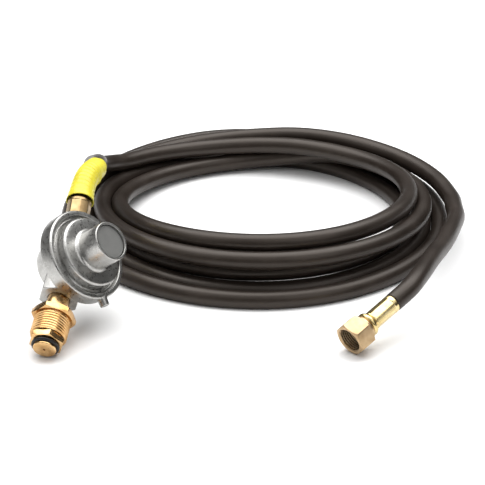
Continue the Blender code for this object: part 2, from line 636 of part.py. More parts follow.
# ---------------------------------------------------------------- lever and valve
def make_lever(pivot, steel):
    """A bell crank about its pin: a finger up into the valve and an arm along to the post."""
    half_finger = LEVER_FINGER_W / 2
    half_arm = LEVER_ARM_H / 2
    finger_top = -PIN_Z + LEVER_TIP
    arm_end = -PIN_X + LEVER_TIP
    root = half_finger + LEVER_WEB
    outline = [
        (-half_finger, finger_top - half_finger),
        (-half_finger / 2, finger_top),
        (half_finger / 2, finger_top),
        (half_finger, finger_top - half_finger),
        (half_finger, root),
        (root, half_arm),
        (arm_end - half_arm / 2, half_arm),
        (arm_end, half_arm / 2),
        (arm_end, -half_arm / 2),
        (arm_end - half_arm / 2, -half_arm),
        *arc(0, 0, LEVER_BOSS_R, *LEVER_BOSS_ENDS, 10),
    ]
    lever = made("valve_lever", prism(outline, -LEVER_T / 2, LEVER_T / 2, ALONG_Y), steel, pivot)
    hole = turned([(0, -LEVER_T), (PIN_R + FIT, -LEVER_T), (PIN_R + FIT, LEVER_T), (0, LEVER_T)], SIDES_SMALL)
    bmesh.ops.transform(hole, matrix=ALONG_Y, verts=hole.verts)
    boolean(lever, "DIFFERENCE", "pin_hole", hole, steel)


def make_pin(frame, steel):
    half = PIN_LENGTH / 2
    pin = turned([(0, -half), (PIN_R, -half), (PIN_R, half), (0, half)], SIDES_SMALL)
    bmesh.ops.transform(pin, matrix=ALONG_Y, verts=pin.verts)
    made("lever_pin", pin, steel, frame, (PIN_X, 0, PIN_Z))


def make_valve(frame, brass, rubber):
    rear = HOLDER_FRONT_X + VALVE_LENGTH
    edge = SEAT_DISC_T / 4
    profile = [(0, DISC_FLOOR_X), (SEAT_DISC_R + FIT, DISC_FLOOR_X), (SEAT_DISC_R + FIT, HOLDER_FRONT_X),
               (VALVE_R, HOLDER_FRONT_X), (VALVE_R, rear - edge), (VALVE_R - edge, rear), (0, rear)]
    holder = made("valve_holder", turned(profile, SIDES, along_x=True), brass, frame)
    room = LEVER_FINGER_W / 2 + LEVER_SWING
    half = LEVER_T / 2 + RUN
    slot = box((PIN_X - room, -half, -VALVE_R - FIT), (PIN_X + room, half, LEVER_TIP + 2 * RUN))
    boolean(holder, "DIFFERENCE", "slot", slot, brass)
    disc = turned([(0, DISC_FRONT_X), (SEAT_DISC_R, DISC_FRONT_X), (SEAT_DISC_R, DISC_FRONT_X + SEAT_DISC_T),
                   (0, DISC_FRONT_X + SEAT_DISC_T)], SIDES_SMALL, along_x=True)
    made("valve_seat_disc", disc, rubber, frame)


def make_orifice(frame, brass):
    profile = [
        (ORIFICE_R, ORIFICE_BACK_X),
        (ORIFICE_FLANGE_R, ORIFICE_BACK_X),
        (ORIFICE_FLANGE_R, ORIFICE_BACK_X + ORIFICE_FLANGE_T),
        (ORIFICE_SHANK_R, ORIFICE_BACK_X + ORIFICE_FLANGE_T),
        (ORIFICE_SHANK_R, ORIFICE_TIP_X - ORIFICE_TIP),
        (ORIFICE_R + ORIFICE_TIP, ORIFICE_TIP_X),
        (ORIFICE_R, ORIFICE_TIP_X),
    ]
    made("inlet_orifice", turned(profile, SIDES_SMALL, along_x=True), brass, frame)


# ---------------------------------------------------------------- bottle inlet
def make_bottle_inlet(frame, brass, dark_brass, rubber, steel):
    nose = (NOSE_X, 0, 0)
    corner = corners(NIPPLE_HEX_AF)
    edge = (corner - NIPPLE_HEX_AF / 2) / 2
    nipple = [
        (NOSE_HOLE_R, 0),
        (NOSE_R - edge, 0),
        (NOSE_R, edge),
        (NOSE_R, NOSE_LAND),
        (ORING_GROOVE_R, NOSE_LAND),
        (ORING_GROOVE_R, NIPPLE_HEX_START),
        (NIPPLE_HEX_AF / 2, NIPPLE_HEX_START),
        (corner, NIPPLE_HEX_START + edge),
        (corner, NIPPLE_HEX_END - edge),
        (NIPPLE_HEX_AF / 2, NIPPLE_HEX_END),
        (NIPPLE_STEM_R, NIPPLE_HEX_END),
        (NIPPLE_STEM_R, NIPPLE_STEM_END),
        (PIPE_R, NIPPLE_STEM_END + edge),
        (PIPE_R, NIPPLE_LENGTH),
        (NIPPLE_BORE_R, NIPPLE_LENGTH),
        (NIPPLE_BORE_R, NIPPLE_FLOOR),
        (NOSE_HOLE_R, NIPPLE_FLOOR - NIPPLE_BORE_R + NOSE_HOLE_R),
    ]
    piece = made("pol_nipple", turned(nipple, SIDES, along_x=True), brass, frame, nose)
    hexed(piece, NIPPLE_HEX_AF, 0, NIPPLE_LENGTH, brass, turn=pi / 6, location=nose)

    ring_r = ORING_GROOVE_R + FIT + ORING_R
    ring = arc(ring_r, ORING_START + ORING_GROOVE_W / 2, ORING_R, 0, 2 * pi, 8)[:-1]
    made("pol_oring", turned(ring, SIDES, along_x=True), rubber, frame, nose)

    corner = corners(NUT_HEX_AF)
    edge = corner - NUT_HEX_AF / 2
    nut_end = NUT_HEX_START + NUT_HEX_T
    nut = [
        (NUT_BORE_R, NUT_START),
        (NUT_BARREL_R - edge / 2, NUT_START),
        (NUT_BARREL_R, NUT_START + edge / 2),
        (NUT_BARREL_R, NUT_HEX_START),
        (NUT_HEX_AF / 2, NUT_HEX_START),
        (corner, NUT_HEX_START + edge / 2),
        (corner, nut_end - edge / 2),
        (NUT_HEX_AF / 2, nut_end),
        (NUT_BORE_R, nut_end),
    ]
    piece = made("pol_nut", turned(nut, SIDES, along_x=True), dark_brass, frame, nose)
    hexed(piece, NUT_HEX_AF, NUT_START, nut_end, dark_brass, location=nose)

    guide_end = POPPET_START + POPPET_GUIDE
    tip = POPPET_START + POPPET_REACH
    head = tip - POPPET_CONE
    poppet = [(0, POPPET_START), (POPPET_R, POPPET_START), (POPPET_R, guide_end), (POPPET_NECK_R, guide_end),
              (POPPET_NECK_R, head - POPPET_NECK_R / 2), (POPPET_HEAD_R, head - POPPET_NECK_R / 2),
              (POPPET_HEAD_R, head), (POPPET_TIP_R, tip), (0, tip)]
    made("excess_flow_poppet", turned(poppet, SIDES_SMALL, along_x=True), brass, frame, nose)
    seat_r = NIPPLE_BORE_R - FIT
    seat_end = FLOW_SEAT_START + FLOW_SEAT_T
    seat = [(FLOW_SEAT_HOLE_R, FLOW_SEAT_START), (seat_r, FLOW_SEAT_START), (seat_r, seat_end),
            (FLOW_SEAT_HOLE_R, seat_end)]
    made("excess_flow_seat", turned(seat, SIDES_SMALL, along_x=True), brass, frame, nose)
    spring("excess_flow_spring", FLOW_SPRING_R, FLOW_SPRING_WIRE, FLOW_SPRING_TURNS, guide_end,
           FLOW_SEAT_START, steel, frame, nose, along_x=True)


# ---------------------------------------------------------------- hose ends
def barbs(radius, start, end):
    """Outer profile of a hose barb, from its root to its tip."""
    count = int((end - start) / BARB_STEP)
    points = []
    for k in range(count):
        low = start + k * BARB_STEP
        points += [(radius - BARB_HEIGHT, low), (radius, low + BARB_FACE)]
    return points + [(radius - BARB_HEIGHT, end)]


def ferrule(name, outer_r, wall, barb_r, start, length, material, parent):
    """A crimped sleeve along +X from start: flutes over its middle, turned in over the barb at its start."""
    lobes = FERRULE_FLUTES * 4
    inner_r = outer_r - wall

    def ring(x, radius, depth):
        spots = []
        for k in range(lobes):
            angle = 2 * pi * k / lobes
            out = radius - depth * (0.5 - 0.5 * cos(angle * FERRULE_FLUTES))
            spots.append((x, out * cos(angle), out * sin(angle)))
        return spots

    deep = FERRULE_FLUTE_DEPTH
    plain = length * FERRULE_PLAIN
    outer = [
        ring(start, outer_r - deep, 0),
        ring(start + deep, outer_r, 0),
        ring(start + plain, outer_r, deep),
        ring(start + length - plain * 1.5, outer_r, deep),
        ring(start + length - plain, outer_r, 0),
        ring(start + length, outer_r, 0),
    ]
    inner = [
        ring(start, barb_r + FIT, 0),
        ring(start + FERRULE_FLOOR, barb_r + FIT, 0),
        ring(start + FERRULE_FLOOR, inner_r - deep, 0),
        ring(start + length, inner_r - deep, 0),
    ]
    made(name, shell(outer, inner), material, parent)


def hose_end(name, barb_r, ferrule_r, wall, start, length, material, parent):
    """The stretch of hose that the ferrule grips, along +X."""
    low = start + FERRULE_FLOOR + FIT
    outer = ferrule_r - wall - FERRULE_FLUTE_DEPTH - FIT
    inner = barb_r + FIT
    ring = [(inner, low), (outer, low), (outer, start + length), (inner, start + length)]
    made(name, turned(ring, SIDES, along_x=True), material, parent)


def make_outlet(outlet, brass, ferrule_look, rubber):
    corner = corners(OUTLET_HEX_AF)
    edge = (corner - OUTLET_HEX_AF / 2) / 2
    start = OUTLET_REACH - OUTLET_SOCKET + FIT
    barb_end = OUTLET_END_X - FERRULE_FLOOR
    profile = [
        (OUTLET_BORE_R, start),
        (PIPE_R - edge, start),
        (PIPE_R, start + edge),
        (PIPE_R, OUTLET_HEX_X),
        (OUTLET_HEX_AF / 2, OUTLET_HEX_X),
        (corner, OUTLET_HEX_X + edge),
        (corner, OUTLET_HEX_END - edge),
        (OUTLET_HEX_AF / 2, OUTLET_HEX_END),
        *barbs(OUTLET_BARB_R, OUTLET_HEX_END, barb_end),
        (OUTLET_BORE_R, barb_end),
    ]
    stem = made("outlet_stem", turned(profile, SIDES, along_x=True), brass, outlet)
    hexed(stem, OUTLET_HEX_AF, start, barb_end, brass, turn=pi / 6)
    ferrule("outlet_ferrule", OUTLET_FERRULE_R, OUTLET_FERRULE_WALL, OUTLET_BARB_R, OUTLET_FERRULE_X,
            OUTLET_FERRULE_LENGTH, ferrule_look, outlet)
    hose_end("outlet_hose_end", OUTLET_BARB_R, OUTLET_FERRULE_R, OUTLET_FERRULE_WALL, OUTLET_FERRULE_X,
             OUTLET_FERRULE_LENGTH, rubber, outlet)


def make_flare_end(frame, nut_look, brass, rubber):
    """Swivel nut on its stem. The frame's +X runs from the nut's mouth back along the hose."""
    corner = corners(FLARE_AF)
    edge = corner - FLARE_AF / 2
    hole = FLARE_STEM_R + FIT
    mouth = FLARE_MOUTH_R - FLARE_THREAD_R
    nut = [
        (FLARE_MOUTH_R, 0),
        (FLARE_AF / 2 - edge / 4, 0),
        (corner, edge * 0.6),
        (corner, FLARE_HEX_T - edge * 0.6),
        (FLARE_AF / 2 - edge / 4, FLARE_HEX_T),
        (FLARE_COLLAR_R, FLARE_HEX_T),
        (FLARE_COLLAR_R, FLARE_REAR - edge / 2),
        (FLARE_COLLAR_R - edge / 2, FLARE_REAR),
        (hole, FLARE_REAR),
        (hole, FLARE_SHOULDER),
        (FLARE_THREAD_R, FLARE_SHOULDER),
        (FLARE_THREAD_R, mouth),
    ]
    piece = made("flare_nut", turned(nut, SIDES, along_x=True), nut_look, frame)
    hexed(piece, FLARE_AF, 0, FLARE_REAR, nut_look, turn=FLARE_TURN)

    head_back = FLARE_SHOULDER - FIT
    head_r = FLARE_THREAD_R - FIT
    bead_edge = FLARE_BEAD_T / 4
    barb_end = FLARE_END - FERRULE_FLOOR
    stem = [
        (FLARE_BORE_R, head_back - FLARE_HEAD_T + FLARE_CONE_R - FLARE_BORE_R),
        (FLARE_CONE_R, head_back - FLARE_HEAD_T),
        (head_r, head_back - FLARE_HEAD_T),
        (head_r, head_back),
        (FLARE_STEM_R, head_back),
        (FLARE_STEM_R, FLARE_BEAD_START),
        (FLARE_BEAD_R - bead_edge, FLARE_BEAD_START),
        (FLARE_BEAD_R, FLARE_BEAD_START + bead_edge),
        (FLARE_BEAD_R, FLARE_BEAD_END - bead_edge),
        (FLARE_BEAD_R - bead_edge, FLARE_BEAD_END),
        *barbs(FLARE_BARB_R, FLARE_BEAD_END, barb_end),
        (FLARE_BORE_R, barb_end),
    ]
    made("flare_stem", turned(stem, SIDES, along_x=True), brass, frame)
    ferrule("flare_ferrule", FLARE_FERRULE_R, FLARE_FERRULE_WALL, FLARE_BARB_R, FLARE_FERRULE_START,
            FLARE_FERRULE_LENGTH, brass, frame)
    hose_end("flare_hose_end", FLARE_BARB_R, FLARE_FERRULE_R, FLARE_FERRULE_WALL, FLARE_FERRULE_START,
             FLARE_FERRULE_LENGTH, rubber, frame)


# ---------------------------------------------------------------- hose
def blend(a, b, slope_a, slope_b, share):
    """Cubic from a to b with the given slopes, each over the whole step."""
    rest = 1 - share
    ends = a * (1 + 2 * share) * rest ** 2 + b * share ** 2 * (3 - 2 * share)
    return ends + slope_a * share * rest ** 2 - slope_b * share ** 2 * rest


def smooth_run(marks, start_way, end_way, fineness=12):
    """Fine points of a smooth curve through the marks that leaves and arrives in the given ways."""
    spans = [(b - a).length for a, b in zip(marks, marks[1:])]
    inner = [(c - a) / (spans[k] + spans[k + 1]) for k, (a, c) in enumerate(zip(marks, marks[2:]))]
    slopes = [start_way, *inner, end_way]
    points = []
    for k, span in enumerate(spans):
        for step in range(fineness):
            share = step / fineness
            points.append(blend(marks[k], marks[k + 1], slopes[k] * span, slopes[k + 1] * span, share))
    return points + [marks[-1]]


def walk(points, spacing, start=0.0, length=None):
    """Points at even steps along a fine line, from start on."""
    marks = [0.0]
    for a, b in zip(points, points[1:]):
        marks.append(marks[-1] + (b - a).length)
    end = marks[-1] if length is None else start + length
    count = ceil((end - start) / spacing)
    spots = []
    k = 0
    for step in range(count + 1):
        goal = start + (end - start) * step / count
        while k < len(points) - 2 and marks[k + 1] < goal:
            k += 1
        spots.append(points[k].lerp(points[k + 1], (goal - marks[k]) / (marks[k + 1] - marks[k])))
    return spots


def coil_plan():
    """Column and height of each station before the strands settle, in metres."""
    keys = []
    for number, row in enumerate(COIL_PASSES):
        for side, (column, layer) in enumerate(row):
            time = (number + (side + 1) / COIL_SIDES) * COIL_STATIONS
            keys.append((time, column * COIL_COLUMN * HOSE_D, layer * HOSE_D))
    last = int(keys[-1][0])

    def slope(k, which):
        before, after = keys[max(k - 1, 0)], keys[min(k + 1, len(keys) - 1)]
        return (after[which] - before[which]) / (after[0] - before[0])

    plan = []
    for station in range(COIL_START, last + 1):
        k = max(0, min(len(keys) - 2, sum(key[0] < station for key in keys) - 1))
        step = keys[k + 1][0] - keys[k][0]
        share = (station - keys[k][0]) / step
        plan.append([blend(keys[k][which], keys[k + 1][which], slope(k, which) * step,
                           slope(k + 1, which) * step, share) for which in (1, 2)])
    return plan


def settle(plan):
    """Let the strands push each other apart until none touches, as they stay near the plan."""
    strands = [list(spot) for spot in plan]
    apart = HOSE_D + COIL_AIR
    count = len(strands)
    for turn in range(SETTLE_TURNS):
        if turn < SETTLE_PULL_TURNS:
            for strand, wish in zip(strands, plan):
                strand[0] += SETTLE_PULL * (wish[0] - strand[0])
                strand[1] += SETTLE_PULL * (wish[1] - strand[1])
        if turn < SETTLE_SMOOTH_TURNS:
            before = [list(strand) for strand in strands]
            for k in range(1, count - 1):
                for which in (0, 1):
                    middle = (before[k - 1][which] + before[k + 1][which]) / 2
                    strands[k][which] += SETTLE_SMOOTH * (middle - before[k][which])
        for strand in strands:
            strand[1] = max(strand[1], 0.0)
        for station in range(COIL_STATIONS):
            stack = range(station, count, COIL_STATIONS)
            for one in stack:
                for other in stack:
                    if other > one:
                        push_apart(strands[one], strands[other], apart)
    return strands


def push_apart(one, other, apart):
    across = other[0] - one[0]
    up = other[1] - one[1]
    distance = hypot(across, up) + 1e-9
    if distance < apart:
        push = (apart - distance) / 2 / distance
        one[0] -= across * push
        other[0] += across * push
        one[1] = max(one[1] - up * push, 0.0)
        other[1] = max(other[1] + up * push, 0.0)


def coil_route():
    """Centre line of the coil from the coil's own centre, with one straight diameter at each end."""
    points = []
    for k, (column, height) in enumerate(settle(coil_plan())):
        angle = pi - 2 * pi * (k + COIL_START) / COIL_STATIONS
        depth = COIL_FRONT + (COIL_BACK - COIL_FRONT) * (1 + sin(angle)) / 2
        points.append(Vector(((COIL_X + column) * cos(angle), (depth + column) * sin(angle),
                              height + HOSE_R - COIL_SINK)))
    first = pi - 2 * pi * COIL_START / COIL_STATIONS
    back = Vector((-sin(first) * HOSE_D, cos(first) * HOSE_D, COIL_START_RISE))
    ahead = Vector((sin(angle) * HOSE_D, -cos(angle) * HOSE_D, 0))
    return [points[0] + back.normalized() * HOSE_D, *points, points[-1] + ahead]


def least_gap(points):
    """Least air between two strands, on a curve through the coil's points."""
    ways = [(b - a).normalized() for a, b in ((points[0], points[1]), (points[-2], points[-1]))]
    fine = smooth_run(points, *ways, fineness=6)
    apart = 4 * HOSE_D
    skip = ceil(apart / ((points[2] - points[1]).length / 6))
    least = min((fine[a] - fine[b]).length for a in range(len(fine)) for b in range(a + skip, len(fine)))
    return least - HOSE_D


def make_coil(points, rubber):
    """One unbroken tube, six-sided with a side down, pressed flat where it lies on the ground."""
    draft = tube("hose_coil_draft", points, HOSE_R, 1, rubber)
    draft.data.twist_mode = "Z_UP"
    bpy.context.view_layer.update()
    mesh = bpy.data.meshes.new_from_object(draft.evaluated_get(bpy.context.evaluated_depsgraph_get()))
    bpy.data.objects.remove(draft)
    mesh.name = "hose_coil"
    for vert in mesh.vertices:
        vert.co.z = max(vert.co.z, 0.0)
    return place("hose_coil", mesh)


def make_sleeve(line, rubber_sleeve):
    """A loose sleeve round the hose just past the outlet's ferrule."""
    inner_r = HOSE_R + SLEEVE_LOOSE
    outer_r = inner_r + SLEEVE_WALL
    spots = walk(line, SLEEVE_STEP, start=2 * FIT, length=SLEEVE_LENGTH)
    outer, inner = [], []
    for k, spot in enumerate(spots):
        way = (spots[min(k + 1, len(spots) - 1)] - spots[max(k - 1, 0)]).normalized()
        side = way.cross(Vector((0, 0, 1))).normalized()
        up = side.cross(way)
        for rings, radius in ((outer, outer_r), (inner, inner_r)):
            rings.append([spot + radius * (side * cos(a) + up * sin(a))
                          for a in [2 * pi * step / SLEEVE_SIDES for step in range(SLEEVE_SIDES)]])
    made("yellow_sleeve", shell(outer, inner), rubber_sleeve)


# ---------------------------------------------------------------- the whole
def main():
    for leftover in list(bpy.data.objects):
        bpy.data.objects.remove(leftover)

    zinc = look("cast_zinc", (0.56, 0.56, 0.55), 0.42, 0.9)
    cap_look = look("cap_grey", (0.22, 0.22, 0.22), 0.5, 0.6)
    brass = look("bright_brass", (0.78, 0.60, 0.28), 0.3, 1.0)
    dark_brass = look("nut_brass", (0.60, 0.46, 0.24), 0.4, 1.0)
    ferrule_look = look("dull_brass", (0.48, 0.36, 0.22), 0.45, 0.9)
    steel = look("steel", (0.6, 0.6, 0.6), 0.35, 1.0)
    rubber = look("hose_rubber", (0.045, 0.038, 0.034), 0.5, 0.0)
    seal = look("seal_rubber", (0.03, 0.03, 0.03), 0.6, 0.0)
    yellow = look("sleeve_yellow", (0.90, 0.80, 0.06), 0.45, 0.0)

    frame = place("regulator_frame", None)
    frame.matrix_world = axes(FLOW_DIRECTION, TOWER_DIRECTION)
    outlet = place("outlet_frame", None, frame)
    outlet.rotation_euler = (0, 0, OUTLET_SKEW)
    pivot = place("lever_frame", None, frame, (PIN_X, 0, PIN_Z))

    make_body(frame, outlet, zinc)
    make_bonnet(frame, zinc)
    make_vent_screen(frame, steel)
    make_tower_pieces(frame, cap_look, brass, steel)
    make_diaphragm(frame, seal)
    make_plate(frame, steel)
    make_post(frame, brass)
    make_relief(frame, brass, steel)
    make_lever(pivot, steel)
    make_pin(frame, steel)
    make_valve(frame, brass, seal)
    make_orifice(frame, brass)
    make_bottle_inlet(frame, brass, dark_brass, seal, steel)
    make_outlet(outlet, brass, ferrule_look, rubber)

    outside = [piece for piece in bpy.data.objects if piece.data and not piece.hide_render]
    low, high = extent(outside)
    frame.location = (-(low.x + high.x) / 2, -(low.y + high.y) / 2, -low.z)

    centre = Vector((*COIL_CENTRE, 0))
    flare = place("flare_frame", None)
    flare.matrix_world = axes(-Vector(FLARE_DIRECTION), (0, 0, 1))
    make_flare_end(flare, dark_brass, brass, rubber)
    low, high = extent([bpy.data.objects["flare_nut"]])
    flare.location = (*(centre + Vector((*FLARE_PLACE, 0))).xy, -low.z)
    bpy.context.view_layer.update()

    coil = [centre + point for point in coil_route()]
    make_coil(coil, rubber)
    print(f"hose_coil: least gap to itself {least_gap(coil) * 1000:.2f} mm")

    outlet_way = outlet.matrix_world.to_3x3() @ Vector((1, 0, 0))
    outlet_face = outlet.matrix_world @ Vector((OUTLET_END_X + FIT, 0, 0))
    coil_way = (coil[1] - coil[0]).normalized()
    lead_end = coil[0] - coil_way * FIT
    lead_marks = [outlet_face + outlet_way * HOSE_R / 2, *(centre + Vector(spot) for spot in LEAD_ROUTE),
                  lead_end - coil_way * HOSE_D]
    lead_run = smooth_run(lead_marks, outlet_way, coil_way)
    tube("hose_lead", [outlet_face, *walk(lead_run, TUBE_STEP), lead_end], HOSE_R, 3, rubber)
    make_sleeve([outlet_face, *lead_run], yellow)

    flare_way = flare.matrix_world.to_3x3() @ Vector((1, 0, 0))
    flare_face = flare.matrix_world @ Vector((FLARE_END + FIT, 0, 0))
    coil_way = (coil[-1] - coil[-2]).normalized()
    tail_start = coil[-1] + coil_way * FIT
    tail_marks = [tail_start + coil_way * HOSE_D, *(centre + Vector(spot) for spot in TAIL_ROUTE),
                  flare_face + flare_way * HOSE_D]
    tail_run = smooth_run(tail_marks, coil_way, -flare_way)
    tube("hose_tail", [tail_start, *walk(tail_run, TUBE_STEP), flare_face], HOSE_R, 3, rubber)


main()
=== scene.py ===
"""Low-pressure regulator with a bottle inlet, a coiled hose and a flare swivel nut: shapes and finishes.

Metres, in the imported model's frame. The regulator's own frame has +X along the gas flow and +Z up the
spring tower. The flare end's frame runs from the nut's mouth back along the hose.
"""

import json
from functools import partial
from math import ceil, cos, hypot, pi, radians, sin, sqrt

import bmesh
import bpy
from mathutils import Matrix, Vector


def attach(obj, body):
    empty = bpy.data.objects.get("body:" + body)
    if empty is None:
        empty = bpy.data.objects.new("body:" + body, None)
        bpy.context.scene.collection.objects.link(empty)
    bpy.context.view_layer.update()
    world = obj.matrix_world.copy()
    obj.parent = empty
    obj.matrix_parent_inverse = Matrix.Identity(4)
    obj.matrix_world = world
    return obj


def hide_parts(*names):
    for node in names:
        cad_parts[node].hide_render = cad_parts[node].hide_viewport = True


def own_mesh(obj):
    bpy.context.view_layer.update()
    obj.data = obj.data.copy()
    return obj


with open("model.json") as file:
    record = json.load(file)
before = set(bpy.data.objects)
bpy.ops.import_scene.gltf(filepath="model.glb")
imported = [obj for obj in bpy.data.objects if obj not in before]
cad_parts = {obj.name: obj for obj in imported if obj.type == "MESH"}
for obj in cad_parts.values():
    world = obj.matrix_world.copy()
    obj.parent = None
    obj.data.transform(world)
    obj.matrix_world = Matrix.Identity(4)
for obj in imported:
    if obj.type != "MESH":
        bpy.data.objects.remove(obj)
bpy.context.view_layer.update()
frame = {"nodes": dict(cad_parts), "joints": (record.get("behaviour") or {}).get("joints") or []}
joints = {joint["name"]: joint for joint in frame["joints"]}

# ---------------- where the fittings lie
SCREW_HEIGHT = 0.0302  # flow axis to the underside of the adjusting screw
OUTLET_SKEW = radians(6.0)  # the outlet boss leaves a little off the inlet's line
FLARE_TURN = radians(-15.0)  # which way the swivel nut's corners stand
COIL_CENTRE = Vector((0.110, 0.1455, 0))


def frame_of(place, x_axis, z_axis):
    """The matrix of a frame from its origin and two directions."""
    x_axis = x_axis.normalized()
    z_axis = (z_axis - z_axis.dot(x_axis) * x_axis).normalized()
    turn = Matrix((x_axis, z_axis.cross(x_axis), z_axis)).transposed().to_4x4()
    return Matrix.Translation(place) @ turn


def joint_way(name):
    """The direction of a joint's axis."""
    return Vector(joints[name]["axis"]).normalized()


tower_way = joint_way("diaphragm_lift")
flow_centre = Vector(joints["screw_turn"]["pos_m"]) - tower_way * SCREW_HEIGHT
REGULATOR = frame_of(flow_centre, joint_way("bottle_nut_spin"), tower_way)
OUTLET = REGULATOR @ Matrix.Rotation(OUTLET_SKEW, 4, "Z")
FLARE = frame_of(Vector(joints["swivel_nut_spin"]["pos_m"]), joint_way("swivel_nut_spin"), Vector((0, 0, 1)))
ALONG_X = Matrix.Rotation(pi / 2, 4, "Y")  # a piece turned about Z comes to lie along X
NOSE_X = -0.0660  # the nipple's nose, along the gas flow
INLET = REGULATOR @ Matrix.Translation((NOSE_X, 0, 0))

# ---------------- camera
SIGHT = Vector((0.0986, 0.1173, -0.0008))  # what the camera looks at
SIGHT_HEIGHT = radians(25)
SIGHT_DISTANCE = 1.2
LENS_MM = 131
SENSOR_MM = 36
SIGHT_LIMIT = 20


def set_up_camera():
    lens = bpy.data.cameras.new("camera")
    lens.lens = LENS_MM
    lens.sensor_width = SENSOR_MM
    lens.clip_end = SIGHT_LIMIT
    camera = bpy.data.objects.new("camera", lens)
    bpy.context.scene.collection.objects.link(camera)
    back = Vector((0, -cos(SIGHT_HEIGHT), sin(SIGHT_HEIGHT)))
    camera.location = SIGHT + back * SIGHT_DISTANCE
    camera.rotation_euler = (pi / 2 - SIGHT_HEIGHT, 0, 0)
    bpy.context.scene.camera = camera


# ---------------- hands: small steps that every piece uses
SPECK = 0.0001  # the plane that is merged into a drawing's first point
MERGE = 0.000002  # points that lie closer together than this are one
SLIVER = 0.000004  # the same, before edges are broken
FLAT = radians(0.5)  # faces that turn less than this are one
SHARP = 35  # degrees: edges that turn more than this stay sharp
DRILL_SIDES = 40


def put_down():
    """Leave edit mode and let go of everything."""
    if bpy.context.mode != "OBJECT":
        bpy.ops.object.mode_set(mode="OBJECT")
    bpy.ops.object.select_all(action="DESELECT")


def take_up(piece):
    """Select one piece alone and make it the active one."""
    put_down()
    piece.select_set(True)
    bpy.context.view_layer.objects.active = piece


def first_point(name, radius, height):
    """Start a drawing with one point, in edit mode."""
    put_down()
    bpy.ops.mesh.primitive_plane_add(size=SPECK, location=(radius, 0, height))
    piece = bpy.context.active_object
    piece.name = name
    bpy.ops.object.mode_set(mode="EDIT")
    bpy.ops.mesh.merge(type="CENTER")
    return piece


def draw_on(across, up):
    """Draw a line from the last point to the next one."""
    bpy.ops.mesh.extrude_vertices_move(TRANSFORM_OT_translate={"value": (across, 0, up)})


def join_up():
    """Make one of points that coincide, turn every face outwards, and leave edit mode."""
    bpy.ops.mesh.select_all(action="SELECT")
    bpy.ops.mesh.remove_doubles(threshold=MERGE)
    bpy.ops.mesh.normals_make_consistent(inside=False)
    put_down()


def turn_on_lathe(name, outline, sides, ring=False):
    """Draw (radius, height) points one after another and spin them about Z. A ring's outline closes."""
    radius, height = outline[0]
    piece = first_point(name, radius, height)
    steps = list(outline[1:]) + ([outline[0]] if ring else [])
    for step_radius, step_height in steps:
        draw_on(step_radius - radius, step_height - height)
        radius, height = step_radius, step_height
    bpy.ops.mesh.select_all(action="SELECT")
    if ring:
        bpy.ops.mesh.remove_doubles(threshold=MERGE)
    bpy.ops.mesh.spin(steps=sides, angle=2 * pi, center=(0, 0, 0), axis=(0, 0, 1))
    join_up()
    settle_place(piece)
    return piece


def settle_place(piece, place=Matrix()):
    """Set a piece into a frame and leave its object at the origin, unturned and unscaled."""
    take_up(piece)
    piece.matrix_world = place @ piece.matrix_world
    bpy.ops.object.transform_apply(location=True, rotation=True, scale=True)
    put_down()


def cut_with(piece, tool, operation="DIFFERENCE"):
    """Shape a piece with a second one, which is used up."""
    take_up(piece)
    step = piece.modifiers.new("cut", "BOOLEAN")
    step.operation = operation
    step.object = tool
    step.solver = "EXACT"
    bpy.ops.object.modifier_apply(modifier=step.name)
    bpy.data.objects.remove(tool)
    put_down()


def mill_hexagon(piece, across_flats, low, high, turn=0.0):
    """Leave only what a hexagonal bar along Z holds. Its first corner stands at the turn."""
    put_down()
    bpy.ops.mesh.primitive_cylinder_add(vertices=6, radius=across_flats / sqrt(3), depth=high - low,
                                        location=(0, 0, (low + high) / 2), rotation=(0, 0, turn - pi / 6))
    bar = bpy.context.active_object
    settle_place(bar)
    cut_with(piece, bar, "INTERSECT")


def break_edges(piece, width, angle=30, segments=2):
    """Take the sharpness off every edge that turns more than the angle."""
    take_up(piece)
    bpy.ops.object.mode_set(mode="EDIT")
    bpy.ops.mesh.select_all(action="SELECT")
    bpy.ops.mesh.remove_doubles(threshold=SLIVER)
    bpy.ops.mesh.dissolve_limited(angle_limit=FLAT)
    put_down()
    take_up(piece)
    step = piece.modifiers.new("edges", "BEVEL")
    step.width = width
    step.segments = segments
    step.limit_method = "ANGLE"
    step.angle_limit = radians(angle)
    step.use_clamp_overlap = True
    bpy.ops.object.modifier_apply(modifier=step.name)
    put_down()


def bore(piece, outline, place=Matrix()):
    """Drill a turned hole, given from its deepest point outwards, along the place's Z."""
    drill = turn_on_lathe("drill", outline, DRILL_SIDES)
    settle_place(drill, place)
    cut_with(piece, drill)


def bore_straight(piece, radius, start, end, place):
    """Drill a plain round hole along the place's Z."""
    bore(piece, [(0, start), (radius, start), (radius, end), (0, end)], place)


def finish(piece, material, body, slot, *nodes, angle=SHARP):
    """Shade a piece, give it its surface, hang it on its body, and hide the imported parts that it stands
    for.
    """
    if angle:
        take_up(piece)
        bpy.ops.object.shade_smooth_by_angle(angle=radians(angle))
        put_down()
    piece.data.materials.clear()
    piece.data.materials.append(material)
    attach(piece, body)
    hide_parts(*nodes)
    return piece


def quarter(centre_r, centre_z, radius, start, end, steps):
    """Points of an arc in an outline, from one angle to another in degrees."""
    angles = [radians(start + (end - start) * k / steps) for k in range(steps + 1)]
    return [(centre_r + radius * cos(a), centre_z + radius * sin(a)) for a in angles]


# ---------------- finishes
NOISE_LOW = 0.3  # nearly all values of a noise lie between these two
NOISE_HIGH = 0.7


def new_finish(name, colour, roughness, metallic=0.0, specular=0.5):
    """A material, its node tree and its shader."""
    material = bpy.data.materials.new(name)
    material.use_nodes = True
    shader = material.node_tree.nodes["Principled BSDF"]
    shader.inputs["Base Color"].default_value = (*colour, 1)
    shader.inputs["Roughness"].default_value = roughness
    shader.inputs["Metallic"].default_value = metallic
    shader.inputs["Specular IOR Level"].default_value = specular
    return material, material.node_tree, shader


